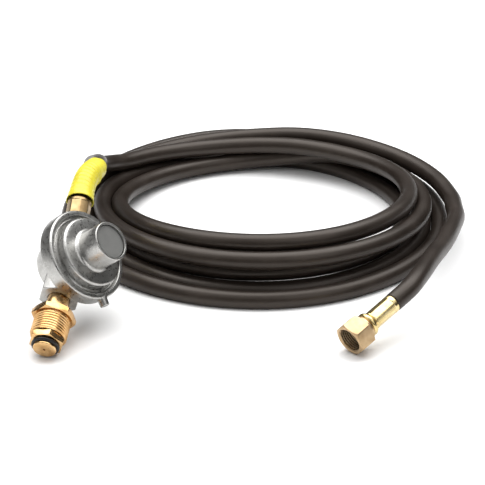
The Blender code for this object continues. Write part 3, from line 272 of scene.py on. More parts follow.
def add(tree, kind, settings=(), **values):
    """A node with its settings and the values of its sockets."""
    item = tree.nodes.new(kind)
    for key, value in dict(settings).items():
        setattr(item, key, value)
    for key, value in values.items():
        item.inputs[key.replace("_", " ")].default_value = value
    return item


def noise(tree, where, scale, detail, roughness=0.5):
    """Smooth chance values over the place."""
    item = add(tree, "ShaderNodeTexNoise", Scale=scale, Detail=detail, Roughness=roughness)
    tree.links.new(where, item.inputs["Vector"])
    return item.outputs["Fac"]


def spread(tree, source, low, high):
    """A noise stretched to run from low to high."""
    item = add(tree, "ShaderNodeMapRange")
    for name, value in (("From Min", NOISE_LOW), ("From Max", NOISE_HIGH), ("To Min", low), ("To Max", high)):
        item.inputs[name].default_value = value
    tree.links.new(source, item.inputs["Value"])
    return item.outputs["Result"]


def tones(tree, source, *stops):
    """Colours along a value: (place, colour) stops."""
    ramp = add(tree, "ShaderNodeValToRGB")
    elements = ramp.color_ramp.elements
    while len(elements) < len(stops):
        elements.new(0.5)
    for element, (place, colour) in zip(elements, stops):
        element.position = place
        element.color = (*colour, 1)
    tree.links.new(source, ramp.inputs["Fac"])
    return ramp.outputs["Color"]


def raise_by(tree, shader, source, strength, distance, under=None):
    """Fine relief on the shader, on top of another one if given."""
    bump = add(tree, "ShaderNodeBump", Strength=strength, Distance=distance)
    tree.links.new(source, bump.inputs["Height"])
    if under:
        tree.links.new(under, bump.inputs["Normal"])
    tree.links.new(bump.outputs["Normal"], shader.inputs["Normal"])
    return bump.outputs["Normal"]


def place_of(tree, place=None, scale=(1, 1, 1)):
    """Where a point lies, in metres: in the model's frame or in a piece's own."""
    spot = add(tree, "ShaderNodeTexCoord").outputs["Object"]
    if place is None:
        return spot
    turn = add(tree, "ShaderNodeMapping", settings={"vector_type": "POINT"})
    back = place.inverted()
    turn.inputs["Location"].default_value = back.to_translation()
    turn.inputs["Rotation"].default_value = back.to_euler("XYZ")
    tree.links.new(spot, turn.inputs["Vector"])
    stretch = add(tree, "ShaderNodeVectorMath", settings={"operation": "MULTIPLY"})
    stretch.inputs[1].default_value = scale
    tree.links.new(turn.outputs["Vector"], stretch.inputs[0])
    return stretch.outputs["Vector"]


def cast_zinc():
    """Satin die casting: clouded grey, a fine grain and faint marks drawn along the tower."""
    material, tree, shader = new_finish("die_cast_zinc", (0.46, 0.455, 0.44), 0.34, 1.0)
    spot = place_of(tree)
    cloud = noise(tree, spot, 90, 9, 0.72)
    colour = tones(tree, cloud, (0.25, (0.32, 0.315, 0.30)), (0.5, (0.42, 0.415, 0.40)),
                   (0.8, (0.53, 0.525, 0.51)))
    tree.links.new(colour, shader.inputs["Base Color"])
    tree.links.new(spread(tree, noise(tree, spot, 700, 4, 0.6), 0.22, 0.46), shader.inputs["Roughness"])
    grain = raise_by(tree, shader, noise(tree, spot, 1600, 2), 0.16, 0.00006)
    drawn = noise(tree, place_of(tree, REGULATOR, (1, 1, 0.04)), 1500, 2)
    grain = raise_by(tree, shader, drawn, 0.10, 0.00005, grain)
    raise_by(tree, shader, noise(tree, spot, 240, 3), 0.08, 0.00015, grain)
    return material


def cap_grey():
    material, tree, shader = new_finish("cap_grey_paint", (0.16, 0.16, 0.155), 0.50, specular=0.35)
    spot = place_of(tree)
    cloud = noise(tree, spot, 160, 4)
    colour = tones(tree, cloud, (0.3, (0.145, 0.145, 0.140)), (0.7, (0.175, 0.175, 0.168)))
    tree.links.new(colour, shader.inputs["Base Color"])
    raise_by(tree, shader, noise(tree, spot, 2600, 2), 0.12, 0.00004)
    return material


def brass(name, dark, mid, light, roughness, place, along, lines):
    """Brass with the marks of its making: stretched noise in the piece's own frame."""
    material, tree, shader = new_finish(name, mid, roughness, 1.0)
    spot = place_of(tree)
    colour = tones(tree, noise(tree, spot, 160, 4), (0.25, dark), (0.5, mid), (0.8, light))
    tree.links.new(colour, shader.inputs["Base Color"])
    marks = noise(tree, place_of(tree, place, along), lines, 3, 0.6)
    tree.links.new(spread(tree, marks, roughness - 0.06, roughness + 0.08), shader.inputs["Roughness"])
    raise_by(tree, shader, marks, 0.16, 0.00006)
    return material


def hose_rubber():
    """Satin black rubber: fine lengthwise lines from the die, and a thin brownish bloom."""
    material, tree, shader = new_finish("hose_black_rubber", (0.020, 0.0145, 0.0112), 0.40, specular=0.42)
    shader.inputs["Specular Tint"].default_value = (1.0, 0.90, 0.82, 1)
    chart = add(tree, "ShaderNodeTexCoord").outputs["UV"]
    stretch = add(tree, "ShaderNodeVectorMath", settings={"operation": "MULTIPLY"})
    stretch.inputs[1].default_value = DIE_LINES
    tree.links.new(chart, stretch.inputs[0])
    lines = noise(tree, stretch.outputs["Vector"], 1.0, 3, 0.6)
    spot = place_of(tree)
    cloud = noise(tree, spot, 45, 5, 0.6)
    colour = tones(tree, cloud, (0.25, (0.0135, 0.0095, 0.0070)), (0.55, (0.0200, 0.0145, 0.0112)),
                   (0.85, (0.0340, 0.0255, 0.0200)))
    tree.links.new(colour, shader.inputs["Base Color"])
    both = add(tree, "ShaderNodeMath", settings={"operation": "ADD"})
    tree.links.new(spread(tree, lines, -0.04, 0.05), both.inputs[0])
    tree.links.new(spread(tree, cloud, 0.33, 0.44), both.inputs[1])
    tree.links.new(both.outputs[0], shader.inputs["Roughness"])
    fine = raise_by(tree, shader, lines, 0.22, 0.00010)
    raise_by(tree, shader, noise(tree, spot, 1500, 2), 0.10, 0.00006, fine)
    return material


def plain_finish(name, colour, roughness, patches, low, high, grain, strength, distance, **values):
    """One colour, with patches of more and less gloss and a fine grain."""
    material, tree, shader = new_finish(name, colour, roughness, **values)
    spot = place_of(tree)
    tree.links.new(spread(tree, noise(tree, spot, patches, 3), low, high), shader.inputs["Roughness"])
    raise_by(tree, shader, noise(tree, spot, grain, 2), strength, distance)
    return material


def sleeve_yellow():
    """Bright yellow vinyl, creased by the bend."""
    material, tree, shader = new_finish("sleeve_yellow_vinyl", (0.74, 0.66, 0.05), 0.34, specular=0.40)
    spot = place_of(tree)
    cloud = noise(tree, spot, 120, 4)
    colour = tones(tree, cloud, (0.25, (0.62, 0.51, 0.030)), (0.55, (0.74, 0.66, 0.05)),
                   (0.85, (0.80, 0.745, 0.09)))
    tree.links.new(colour, shader.inputs["Base Color"])
    creases = raise_by(tree, shader, noise(tree, spot, 190, 3, 0.45), 0.5, 0.0007)
    raise_by(tree, shader, noise(tree, spot, 1300, 2), 0.12, 0.00006, creases)
    return material


ROUND_MARKS = (1, 0.02, 0.02)  # turning lines: close along the piece, long round it
LONG_MARKS = (0.03, 1, 1)  # crimping and drawing lines: long along the piece
DIE_LINES = (60, 14, 1)  # the hose's lines: close round it, long along it

ZINC = cast_zinc()
CAP = cap_grey()
STEEL = plain_finish("bright_steel", (0.60, 0.60, 0.61), 0.28, 700, 0.20, 0.38, 2200, 0.12, 0.00004,
                     metallic=1.0)
RUBBER = hose_rubber()
SEAL = plain_finish("seal_black_rubber", (0.008, 0.008, 0.008), 0.45, 500, 0.34, 0.52, 1800, 0.15, 0.00005,
                    specular=0.35)
YELLOW = sleeve_yellow()
INLET_BRASS = brass("inlet_brass", (0.50, 0.29, 0.11), (0.66, 0.42, 0.19), (0.80, 0.57, 0.31),
                    0.22, REGULATOR, ROUND_MARKS, 5200)
BOTTLE_NUT_BRASS = brass("bottle_nut_brass", (0.44, 0.24, 0.085), (0.60, 0.36, 0.15), (0.74, 0.50, 0.26),
                         0.24, REGULATOR, ROUND_MARKS, 4200)
OUTLET_BRASS = brass("outlet_brass", (0.15, 0.105, 0.045), (0.215, 0.155, 0.070), (0.29, 0.22, 0.11),
                     0.28, OUTLET, ROUND_MARKS, 4200)
DULL_BRASS = brass("outlet_ferrule_brass", (0.24, 0.16, 0.075), (0.34, 0.24, 0.12), (0.45, 0.33, 0.18),
                   0.32, OUTLET, LONG_MARKS, 1400)
NUT_BRASS = brass("swivel_nut_brass", (0.36, 0.24, 0.125), (0.46, 0.325, 0.185), (0.56, 0.42, 0.26),
                  0.34, FLARE, LONG_MARKS, 1300)
FERRULE_BRASS = brass("flare_ferrule_brass", (0.56, 0.42, 0.17), (0.70, 0.55, 0.26), (0.82, 0.69, 0.40),
                      0.24, FLARE, LONG_MARKS, 1100)


# ---------------- regulator halves
PAST = 0.001  # how far a tool reaches past the face that it cuts
FOOT_Z = -0.0125  # underside of the foot
FOOT_ROUND = 0.0016
POCKET_R = 0.0090  # round the lever
POCKET_FLOOR = -0.0095
CHAMBER_R = 0.0215  # under the diaphragm
CHAMBER_FLOOR = 0.0065
SEAT_Z = 0.0116  # where the diaphragm's edge sits
SEAT_R = 0.0273
RIM_R = 0.0290
RIM_FOOT_ROUND = 0.0011
RIM_ROUND = 0.0013
RIM_TOP = 0.0176
LIP_Z = 0.0165  # underside of the lip that is rolled over the bonnet's flange
LIP_R = 0.0256
BOSS_START = 0.0092  # both bosses start inside the body
BOSS_REACH = 0.0280
BOSS_AF = 0.0230  # inlet hexagon, across flats
BOSS_CORNER_R = 0.01328
OUTLET_BOSS_R = 0.0100
OUTLET_BOSS_ROUND = 0.0008
PIPE_BORE_R = 0.00715
FLOW_BORE_R = 0.0035
VALVE_BORE_R = 0.0043
BORE_START = 0.0054  # both bores start inside the pocket
VENT_Z = 0.0146
VENT_ANGLE = radians(-134)
VENT_START = 0.0276
VENT_END = 0.0335
VENT_ROUND = 0.0004
VENT_BORE_R = 0.0016
VENT_HOLE_R = 0.0011
PIN_X = -0.0065  # lever pin, from the flow centre
PIN_Z = -0.0062
PIN_HOLE_R = 0.0013
PIN_HOLE_REACH = 0.0093
FLANGE_R = 0.0270  # the bonnet's flange
FLANGE_Z = 0.0130
FLANGE_TOP = 0.0162
DISC_ROUND = 0.0016
TOWER_R = 0.0124
TOWER_FILLET = 0.0024
TOWER_FOOT = 0.0228
TOWER_EDGE_Z = 0.0394
TOWER_ROUND = 0.0006
TOWER_BORE_R = 0.0108
ROOF_Z = 0.0198  # inside of the bonnet's disc
BONNET_BORE_R = 0.0205
CAP_R = 0.0105
CAP_Z = 0.0368
CAP_ROUND = 0.0003
CAP_TOP = 0.0386
CAP_DISH = 0.00015  # the middle lies this much under the edge
HALF_SIDES = 112  # facets round each half

OUTLET_PLACE = Matrix.Rotation(OUTLET_SKEW, 4, "Z") @ ALONG_X
VENT_PLACE = Matrix.Translation((0, 0, VENT_Z)) @ Matrix.Rotation(VENT_ANGLE, 4, "Z") @ ALONG_X
PIN_PLACE = Matrix.Translation((PIN_X, 0, PIN_Z)) @ Matrix.Rotation(pi / 2, 4, "X")


def make_body():
    """Lower half: foot, dish and rolled rim, with the two bosses and the vent's spout, then its bores."""
    outside = [
        (0, FOOT_Z),
        *quarter(0.0139, FOOT_Z + FOOT_ROUND, FOOT_ROUND, -90, -28, 4),
        (0.0172, -0.0100), (0.0188, -0.0026),
        *quarter(0.0226, -0.0010, 0.0036, 180, 120, 3)[1:],
        (0.0246, 0.0056), (0.0254, 0.0068),
        *quarter(RIM_R - RIM_FOOT_ROUND, 0.0084, RIM_FOOT_ROUND, -80, 0, 4),
        *quarter(RIM_R - RIM_ROUND, RIM_TOP - RIM_ROUND, RIM_ROUND, 0, 90, 5),
        (0.0260, RIM_TOP), (LIP_R, RIM_TOP - 0.0003), (LIP_R, LIP_Z),
        (SEAT_R, LIP_Z), (SEAT_R, SEAT_Z), (CHAMBER_R, SEAT_Z),
        (CHAMBER_R, CHAMBER_FLOOR), (POCKET_R, CHAMBER_FLOOR), (POCKET_R, POCKET_FLOOR),
        (0, POCKET_FLOOR),
    ]
    body = turn_on_lathe("regulator_body_casting", outside, HALF_SIDES)

    boss = turn_on_lathe("inlet_boss", [
        (0, -BOSS_REACH), (0.0111, -BOSS_REACH), (BOSS_CORNER_R, -0.0272),
        (BOSS_CORNER_R, -BOSS_START), (0, -BOSS_START),
    ], 72)
    mill_hexagon(boss, BOSS_AF, -BOSS_REACH - PAST, -0.0080, pi / 6)
    break_edges(boss, 0.0005, angle=25, segments=3)
    settle_place(boss, ALONG_X)
    cut_with(body, boss, "UNION")

    outlet = turn_on_lathe("outlet_boss", [
        (0, BOSS_START), (OUTLET_BOSS_R, BOSS_START), (OUTLET_BOSS_R, 0.0268),
        *quarter(0.0092, 0.0272, OUTLET_BOSS_ROUND, 0, 90, 3),
        (0, BOSS_REACH),
    ], 64)
    settle_place(outlet, OUTLET_PLACE)
    cut_with(body, outlet, "UNION")

    spout = turn_on_lathe("vent_spout", [
        (0, VENT_START), (0.0033, VENT_START), (0.0031, 0.0292), (0.0029, 0.0330),
        *quarter(0.0024, 0.0331, VENT_ROUND, 0, 90, 3),
        (0, VENT_END),
    ], 32)
    settle_place(spout, VENT_PLACE)
    cut_with(body, spout, "UNION")
    break_edges(body, 0.00035, angle=32)

    bore(body, [
        (0, -BOSS_REACH - PAST), (PIPE_BORE_R, -BOSS_REACH - PAST), (PIPE_BORE_R, -0.0197),
        (FLOW_BORE_R, -0.0197), (FLOW_BORE_R, -0.0160), (VALVE_BORE_R, -0.0160),
        (VALVE_BORE_R, -BORE_START), (0, -BORE_START),
    ], ALONG_X)
    bore(body, [
        (0, BORE_START), (FLOW_BORE_R, BORE_START), (FLOW_BORE_R, 0.0180),
        (PIPE_BORE_R, 0.0180), (PIPE_BORE_R, BOSS_REACH + PAST), (0, BOSS_REACH + PAST),
    ], OUTLET_PLACE)
    bore_straight(body, VENT_BORE_R, 0.0267, 0.0350, VENT_PLACE)
    bore_straight(body, PIN_HOLE_R, -PIN_HOLE_REACH, PIN_HOLE_REACH, PIN_PLACE)
    settle_place(body, REGULATOR)
    finish(body, ZINC, "regulator", "cast_zinc", "regulator_body", angle=30)


def make_bonnet():
    """Upper half: grooved flange, raised disc and spring tower, open below."""
    outline = [
        (FLANGE_R, FLANGE_Z), (FLANGE_R, FLANGE_TOP), (0.0249, FLANGE_TOP),
        *quarter(0.0240, FLANGE_TOP - 0.0001, 0.0007, -30, -150, 4),
        (0.0230, FLANGE_TOP), (0.0226, FLANGE_TOP + 0.0006), (0.0222, 0.0208),
        *quarter(0.0206, 0.0211, DISC_ROUND, 0, 84, 6),
        (0.0182, 0.02288),
        *quarter(TOWER_R + TOWER_FILLET, TOWER_FOOT + TOWER_FILLET, TOWER_FILLET, -90, -180, 7),
        (TOWER_R, TOWER_EDGE_Z),
        *quarter(TOWER_R - TOWER_ROUND, TOWER_EDGE_Z, TOWER_ROUND, 0, 90, 4),
        *quarter(0.0111, 0.0397, 0.0003, 90, 180, 3),
        (TOWER_BORE_R, ROOF_Z), (0.0187, ROOF_Z), (BONNET_BORE_R, 0.0180),
        (BONNET_BORE_R, FLANGE_Z),
    ]
    bonnet = turn_on_lathe("bonnet_casting", outline, HALF_SIDES, ring=True)
    bore_straight(bonnet, VENT_HOLE_R, 0.0184, 0.0273, VENT_PLACE)
    settle_place(bonnet, REGULATOR)
    finish(bonnet, ZINC, "regulator", "cast_zinc", "bonnet", angle=30)


def make_cap():
    """A flat disc with a narrow raised edge, sunk in the tower's mouth."""
    outline = [
        (0, CAP_Z), (CAP_R, CAP_Z), (CAP_R, CAP_TOP - CAP_ROUND),
        *quarter(CAP_R - CAP_ROUND, CAP_TOP - CAP_ROUND, CAP_ROUND, 0, 90, 3),
        (0.0098, CAP_TOP), (0.0097, CAP_TOP - CAP_DISH), (0, CAP_TOP - CAP_DISH),
    ]
    cap = turn_on_lathe("tower_cap", outline, 96)
    settle_place(cap, REGULATOR)
    finish(cap, CAP, "regulator", "cap_grey", "closing_cap", angle=30)


# ---------------- bottle inlet, from its nose inwards
NOSE_R = 0.0071
NOSE_ROUND = 0.0007
NOSE_HOLE_R = 0.0008
GROOVE_R = 0.0062  # of the seal ring's groove
RING_R = 0.00755  # middle line of the seal ring
RING_WIRE_R = 0.00105
RING_X = 0.0027
NIPPLE_HEX_AF = 0.0190
NIPPLE_CORNER_R = 0.01097
NIPPLE_STEM_R = 0.0065
NIPPLE_LENGTH = 0.0442
NIPPLE_BORE_R = 0.0040
PIPE_R = 0.00685  # quarter inch pipe thread, drawn plain
BARREL_R = 0.0112  # left-hand bottle thread
BARREL_START = 0.0088
BARREL_EDGE = 0.0009
BARREL_END = 0.0228
NUT_HEX_AF = 0.0238
NUT_CORNER_R = 0.01374
NUT_END = 0.0273
NUT_BORE_R = 0.0073
THREAD_STEPS = 56  # facets round a thread
TOOTH = ((0, 0.14), (1, 0.30), (0, 0.12), (-1, 0.30), (0, 0.14))  # out in depths, up in pitches


def thread_bar(name, outer_r, depth, pitch, low, high, left_hand=False):
    """A solid threaded bar along Z: one tooth drawn, carried round by a screw, and sawn off square."""
    bar = first_point(name, outer_r - depth, low - pitch)
    for out, up in TOOTH:
        draw_on(out * depth, up * pitch)
    put_down()
    settle_place(bar)
    take_up(bar)
    screw = bar.modifiers.new("thread", "SCREW")
    screw.axis = "Z"
    screw.angle = -2 * pi if left_hand else 2 * pi
    screw.screw_offset = pitch
    screw.iterations = ceil((high - low) / pitch) + 2
    screw.steps = THREAD_STEPS
    screw.render_steps = THREAD_STEPS
    screw.use_merge_vertices = True
    bpy.ops.object.modifier_apply(modifier=screw.name)
    bpy.ops.object.mode_set(mode="EDIT")
    for height, below in ((low, True), (high, False)):
        bpy.ops.mesh.select_all(action="SELECT")
        bpy.ops.mesh.bisect(plane_co=(0, 0, height), plane_no=(0, 0, 1), use_fill=True, clear_inner=below,
                            clear_outer=not below)
    join_up()
    return bar


def make_nipple():
    """Tube with a rounded nose, the seal ring's groove, a hexagon collar and a pipe thread's end."""
    outline = [
        (NOSE_HOLE_R, 0), (NOSE_R - NOSE_ROUND, 0),
        *quarter(NOSE_R - NOSE_ROUND, NOSE_ROUND, NOSE_ROUND, -90, 0, 4),
        (NOSE_R, 0.0012), (GROOVE_R, 0.0013), (GROOVE_R, 0.0042),
        (0.0095, 0.0042), (NIPPLE_CORNER_R, 0.0048), (NIPPLE_CORNER_R, 0.0079),
        (0.0095, 0.0085), (NIPPLE_STEM_R, 0.0085), (NIPPLE_STEM_R, 0.0270),
        (PIPE_R, 0.0274), (PIPE_R, NIPPLE_LENGTH), (NIPPLE_BORE_R, NIPPLE_LENGTH),
        (NIPPLE_BORE_R, 0.0080), (NOSE_HOLE_R, 0.0048),
    ]
    nipple = turn_on_lathe("inlet_nipple", outline, 80, ring=True)
    mill_hexagon(nipple, NIPPLE_HEX_AF, -PAST, NIPPLE_LENGTH + PAST, pi / 6)
    break_edges(nipple, 0.00022)
    settle_place(nipple, INLET @ ALONG_X)
    finish(nipple, INLET_BRASS, "regulator", "bright_brass", "pol_nipple", angle=30)


def make_oring():
    put_down()
    bpy.ops.mesh.primitive_torus_add(major_radius=RING_R, minor_radius=RING_WIRE_R, major_segments=96,
                                     minor_segments=20, location=(0, 0, RING_X))
    ring = bpy.context.active_object
    ring.name = "nose_ring"
    settle_place(ring, INLET @ ALONG_X)
    finish(ring, SEAL, "regulator", "seal_rubber", "pol_oring", angle=60)


def make_bottle_nut():
    """Left-hand thread, and a thin hexagon for the wrench behind it."""
    barrel = turn_on_lathe("bottle_nut", [
        (0, BARREL_START), (BARREL_R - BARREL_EDGE, BARREL_START),
        (BARREL_R, BARREL_START + BARREL_EDGE), (BARREL_R, BARREL_END), (0, BARREL_END),
    ], 80)
    thread = thread_bar("bottle_thread", BARREL_R, depth=0.00075, pitch=0.0018, low=0.0080, high=0.0216,
                        left_hand=True)
    cut_with(barrel, thread, "INTERSECT")
    head = turn_on_lathe("nut_head", [
        (0, 0.0214), (0.0105, 0.0214), (0.0105, 0.0226),
        (0.0119, 0.0226), (NUT_CORNER_R, 0.0236), (NUT_CORNER_R, 0.0262),
        (0.0119, NUT_END), (0, NUT_END),
    ], 80)
    mill_hexagon(head, NUT_HEX_AF, 0.0200, 0.0280)
    break_edges(head, 0.00025)
    cut_with(barrel, head, "UNION")
    bore(barrel, [(0, 0.0080), (0.0079, 0.0080), (0.0079, 0.0088), (NUT_BORE_R, 0.0094), (NUT_BORE_R, 0.0280),
                  (0, 0.0280)])
    settle_place(barrel, INLET @ ALONG_X)
    finish(barrel, BOTTLE_NUT_BRASS, "bottle_nut", "nut_brass", "pol_nut", angle=28)


# ---------------- hose ends
BARB_PITCH = 0.0045
BARB_FACE = 0.0007  # length of a barb's steep side
OUTLET_BORE_R = 0.0026
OUTLET_HEX_AF = 0.0159
OUTLET_CORNER_R = 0.00918
OUTLET_TIP = 0.0464
FERRULE_ROUND = 0.0009
FERRULE_FLOOR = 0.0011  # thickness of the turned-in end
FERRULE_FLATS = 8
JAW_START = 0.0016  # from the turned-in end to the flats
JAW_PAST = 0.002
FLARE_AF = 0.01905  # three quarter inch wrench
FLARE_CORNER_R = 0.0110
FLARE_NECK_R = 0.0083  # of the chamfers at both ends of the hexagon
FLARE_HOLE_R = 0.0052
FLARE_MOUTH_R = 0.0074
FLARE_SHOULDER = 0.0115  # mouth to the shoulder that pulls on the stem
FLARE_BORE_R = 0.0024
FLARE_HEAD_R = 0.0070
FLARE_HEAD_X = 0.0080
FLARE_STEM_R = 0.0049
FLARE_TIP = 0.0384


def barb_steps(root_r, tip_r, start, end):
    """Outline of the barbs from the shoulder to the tip."""
    steps = []
    while start + BARB_PITCH <= end:
        steps += [(root_r, start), (tip_r, start + BARB_FACE), (root_r, start + BARB_PITCH)]
        start += BARB_PITCH
    return steps + [(root_r, end)]


def make_outlet_stem():
    """Pipe thread's end, hexagon and barb, all bored through."""
    outline = [
        (OUTLET_BORE_R, 0.0183), (0.0064, 0.0183), (PIPE_R, 0.0188),
        (PIPE_R, 0.0283), (0.00795, 0.0283), (OUTLET_CORNER_R, 0.0289),
        (OUTLET_CORNER_R, 0.0325), (0.00795, 0.0331),
        *barb_steps(0.00325, 0.00365, 0.0331, OUTLET_TIP),
        (OUTLET_BORE_R, OUTLET_TIP),
    ]
    stem = turn_on_lathe("outlet_barb", outline, 64, ring=True)
    mill_hexagon(stem, OUTLET_HEX_AF, 0.0170, 0.0480, pi / 6)
    break_edges(stem, 0.00018)
    settle_place(stem, OUTLET @ ALONG_X)
    finish(stem, OUTLET_BRASS, "regulator", "bright_brass", "outlet_stem", angle=30)


def make_ferrule(name, node, outer_r, wall, bore_r, start, length, flat_depth, turn, place, material, slot):
    """A drawn cup with a turned-in end, pressed by a set of jaws that leave lengthwise flats and ridges."""
    end = start + length
    inner_r = outer_r - wall
    edge = wall * 0.45
    outline = [
        (bore_r, start),
        *quarter(outer_r - FERRULE_ROUND, start + FERRULE_ROUND, FERRULE_ROUND, -90, 0, 5),
        (outer_r, end - edge),
        *quarter(outer_r - edge, end - edge, edge, 0, 90, 3),
        (inner_r, end), (inner_r - flat_depth, end - 0.0012),
        (inner_r - flat_depth, start + FERRULE_FLOOR), (bore_r, start + FERRULE_FLOOR),
    ]
    cup = turn_on_lathe(name, outline, 96, ring=True)
    open_r = outer_r * 1.5
    jaw_r = (outer_r - flat_depth) / cos(pi / FERRULE_FLATS)
    bite = start + JAW_START
    put_down()
    bpy.ops.mesh.primitive_circle_add(vertices=FERRULE_FLATS, radius=open_r, fill_type="NGON",
                                      location=(0, 0, start - JAW_PAST), rotation=(0, 0, turn))
    jaws = bpy.context.active_object
    bpy.ops.object.mode_set(mode="EDIT")
    bpy.ops.mesh.select_all(action="SELECT")
    radius, height = open_r, start - JAW_PAST
    for step_radius, step_height in ((open_r, start + 0.0005), (jaw_r, bite),
                                     (jaw_r, bite + (length - 0.0030) * 0.92), (open_r, end - 0.0004),
                                     (open_r, end + JAW_PAST)):
        bpy.ops.mesh.extrude_region_move(TRANSFORM_OT_translate={"value": (0, 0, step_height - height)})
        share = step_radius / radius
        bpy.ops.transform.resize(value=(share, share, 1), center_override=(0, 0, step_height))
        radius, height = step_radius, step_height
    bpy.ops.mesh.select_all(action="SELECT")
    bpy.ops.mesh.normals_make_consistent(inside=False)
    settle_place(jaws)
    cut_with(cup, jaws, "INTERSECT")
    break_edges(cup, 0.00022, angle=12, segments=3)
    settle_place(cup, place @ ALONG_X)
    return finish(cup, material, "regulator", slot, node, angle=25)


def make_swivel_nut():
    """Hexagon nut, threaded from its mouth, with a shoulder that pulls on the stem's collar."""
    outline = [
        (FLARE_NECK_R, 0), (0.0091, 0), (FLARE_CORNER_R, 0.0011),
        (FLARE_CORNER_R, 0.0112), (0.0093, 0.0122), (FLARE_NECK_R, 0.0123),
        (FLARE_NECK_R, 0.0137),
        *quarter(0.0073, 0.0137, 0.0010, 0, 90, 4),
        (FLARE_HOLE_R, 0.0147), (FLARE_HOLE_R, FLARE_SHOULDER),
        (FLARE_MOUTH_R, FLARE_SHOULDER), (FLARE_MOUTH_R, 0.0008),
    ]
    nut = turn_on_lathe("swivel_nut_turned", outline, 80, ring=True)
    mill_hexagon(nut, FLARE_AF, -PAST, 0.0160, FLARE_TURN)
    break_edges(nut, 0.00025, angle=28)
    cut_with(nut, thread_bar("nut_thread", 0.0080, depth=0.00062, pitch=0.0014, low=-PAST, high=0.0098))
    settle_place(nut, FLARE @ ALONG_X)
    return finish(nut, NUT_BRASS, "swivel_nut", "nut_brass", "flare_nut", angle=28)


def make_flare_stem():
    """45 degree nose, collar, round bead and barb, all bored through."""
    outline = [
        (FLARE_BORE_R, 0.0114), (0.0058, FLARE_HEAD_X), (FLARE_HEAD_R, FLARE_HEAD_X),
        (FLARE_HEAD_R, 0.0112), (FLARE_STEM_R, 0.0112), (FLARE_STEM_R, 0.0150),
        *quarter(0.0057, 0.01715, 0.0020, -80, 80, 8),
        (0.0052, 0.0193),
        *barb_steps(0.0028, 0.0032, 0.0193, FLARE_TIP),
        (FLARE_BORE_R, FLARE_TIP),
    ]
    stem = turn_on_lathe("flare_stem_turned", outline, 72, ring=True)
    settle_place(stem, FLARE @ ALONG_X)
    return finish(stem, FERRULE_BRASS, "regulator", "bright_brass", "flare_stem", angle=30)


# ---------------- hose
HOSE_D = 0.012
HOSE_R = HOSE_D / 2
HOSE_STEP = 0.0048
HOSE_SIDES = 32
GRIP = ((0.0, HOSE_R - 0.0005), (0.0004, HOSE_R - 0.0001), (0.0010, HOSE_R))  # radii from a ferrule on
# Points between the fittings and the coil, from the coil's centre.
LEAD_ROUTE = ((-0.1113, -0.0746, 0.0658), (-0.1067, -0.0510, 0.0638), (-0.1071, -0.0296, 0.0583),
              (-0.1138, -0.0009, 0.0455))
TAIL_ROUTE = ((0.1285, -0.0480, 0.0215), (0.1190, -0.0800, 0.0235), (0.1075, -0.1120, 0.0270),
              (0.0965, -0.1410, 0.0280))
COIL_X = 0.098  # half widths of the innermost column's loop
COIL_FRONT = 0.102
COIL_BACK = 0.094
COIL_STATIONS = 24  # points to a loop
COIL_COLUMN = 1.04  # diameters from one column to the next
COIL_AIR = 0.0002  # between strands that lie on each other
COIL_START = 2  # station of the first point, from the left side clockwise
COIL_START_RISE = 0.0035
COIL_SINK = HOSE_D / 10  # a strand on the ground is flattened by this much
COIL_SIDES = 8  # sides of the coil in each row below: (column, height), in diameters
COIL_PASSES = (
    ((0.8, 0.98), (0.0, 0.95), (0.15, 1.05), (0.65, 2.0), (0.45, 2.5), (0.05, 2.5), (-0.3, 2.4), (-0.1, 0.8)),
    ((0.0, 0.0), (0.2, 0.0), (0.6, 0.8), (1.4, 1.0), (1.25, 1.9), (0.81, 1.85), (0.5, 1.5), (0.95, 0.9)),
    ((1.15, 0.0), (1.2, 0.0), (0.3, 0.0), (0.1, 0.0), (0.35, 0.85), (0.3, 0.85), (0.25, 0.82), (0.6, 0.0)),
    ((2.3, 0.0), (2.2, 0.0), (2.2, 0.1), (2.2, 0.0), (1.9, 0.0), (1.8, 0.0), (2.0, 0.0), (2.75, 0.0)),
    ((3.0, 0.5), (2.1, 0.9), (1.5, 0.2), (1.15, 0.0), (0.85, 0.0), (0.6, 0.0), (0.95, 0.0), (1.75, 0.1)),
    ((1.9, 0.75), (1.0, 1.25), (1.9, 1.5), (2.8, 1.2)),
)
SETTLE_ROUNDS = 400
PLAN_ROUNDS = 300  # of these, how many pull the strands to the plan,
SMOOTH_ROUNDS = 340  # and how many even them out
PLAN_PULL = 0.06
SMOOTH_PULL = 0.12
TOUCHING = 1e-9  # keeps the distance of strands that coincide from being nothing
FIT = 0.0003  # air between the coil and the runs at its ends
OUTLET_FACE_X = 0.0478  # where the hose leaves the outlet's ferrule, from the flow centre
FLARE_FACE_X = 0.0398  # where it enters the flare's ferrule, from the nut's mouth


def blend(a, b, slope_a, slope_b, share):
    """Cubic from a to b with the given slopes, each over the whole step."""
    rest = 1 - share
    ends = a * (1 + 2 * share) * rest ** 2 + b * share ** 2 * (3 - 2 * share)
    return ends + slope_a * share * rest ** 2 - slope_b * share ** 2 * rest


def smooth_run(marks, start_way, end_way, fineness=12):
    """Fine points of a smooth curve through the marks that leaves and arrives in the given ways."""
    spans = [(b - a).length for a, b in zip(marks, marks[1:])]
    inner = [(c - a) / (spans[k] + spans[k + 1]) for k, (a, c) in enumerate(zip(marks, marks[2:]))]
    slopes = [start_way, *inner, end_way]
    points = []
    for k, span in enumerate(spans):
        for step in range(fineness):
            share = step / fineness
            points.append(blend(marks[k], marks[k + 1], slopes[k] * span, slopes[k + 1] * span, share))
    return points + [marks[-1]]


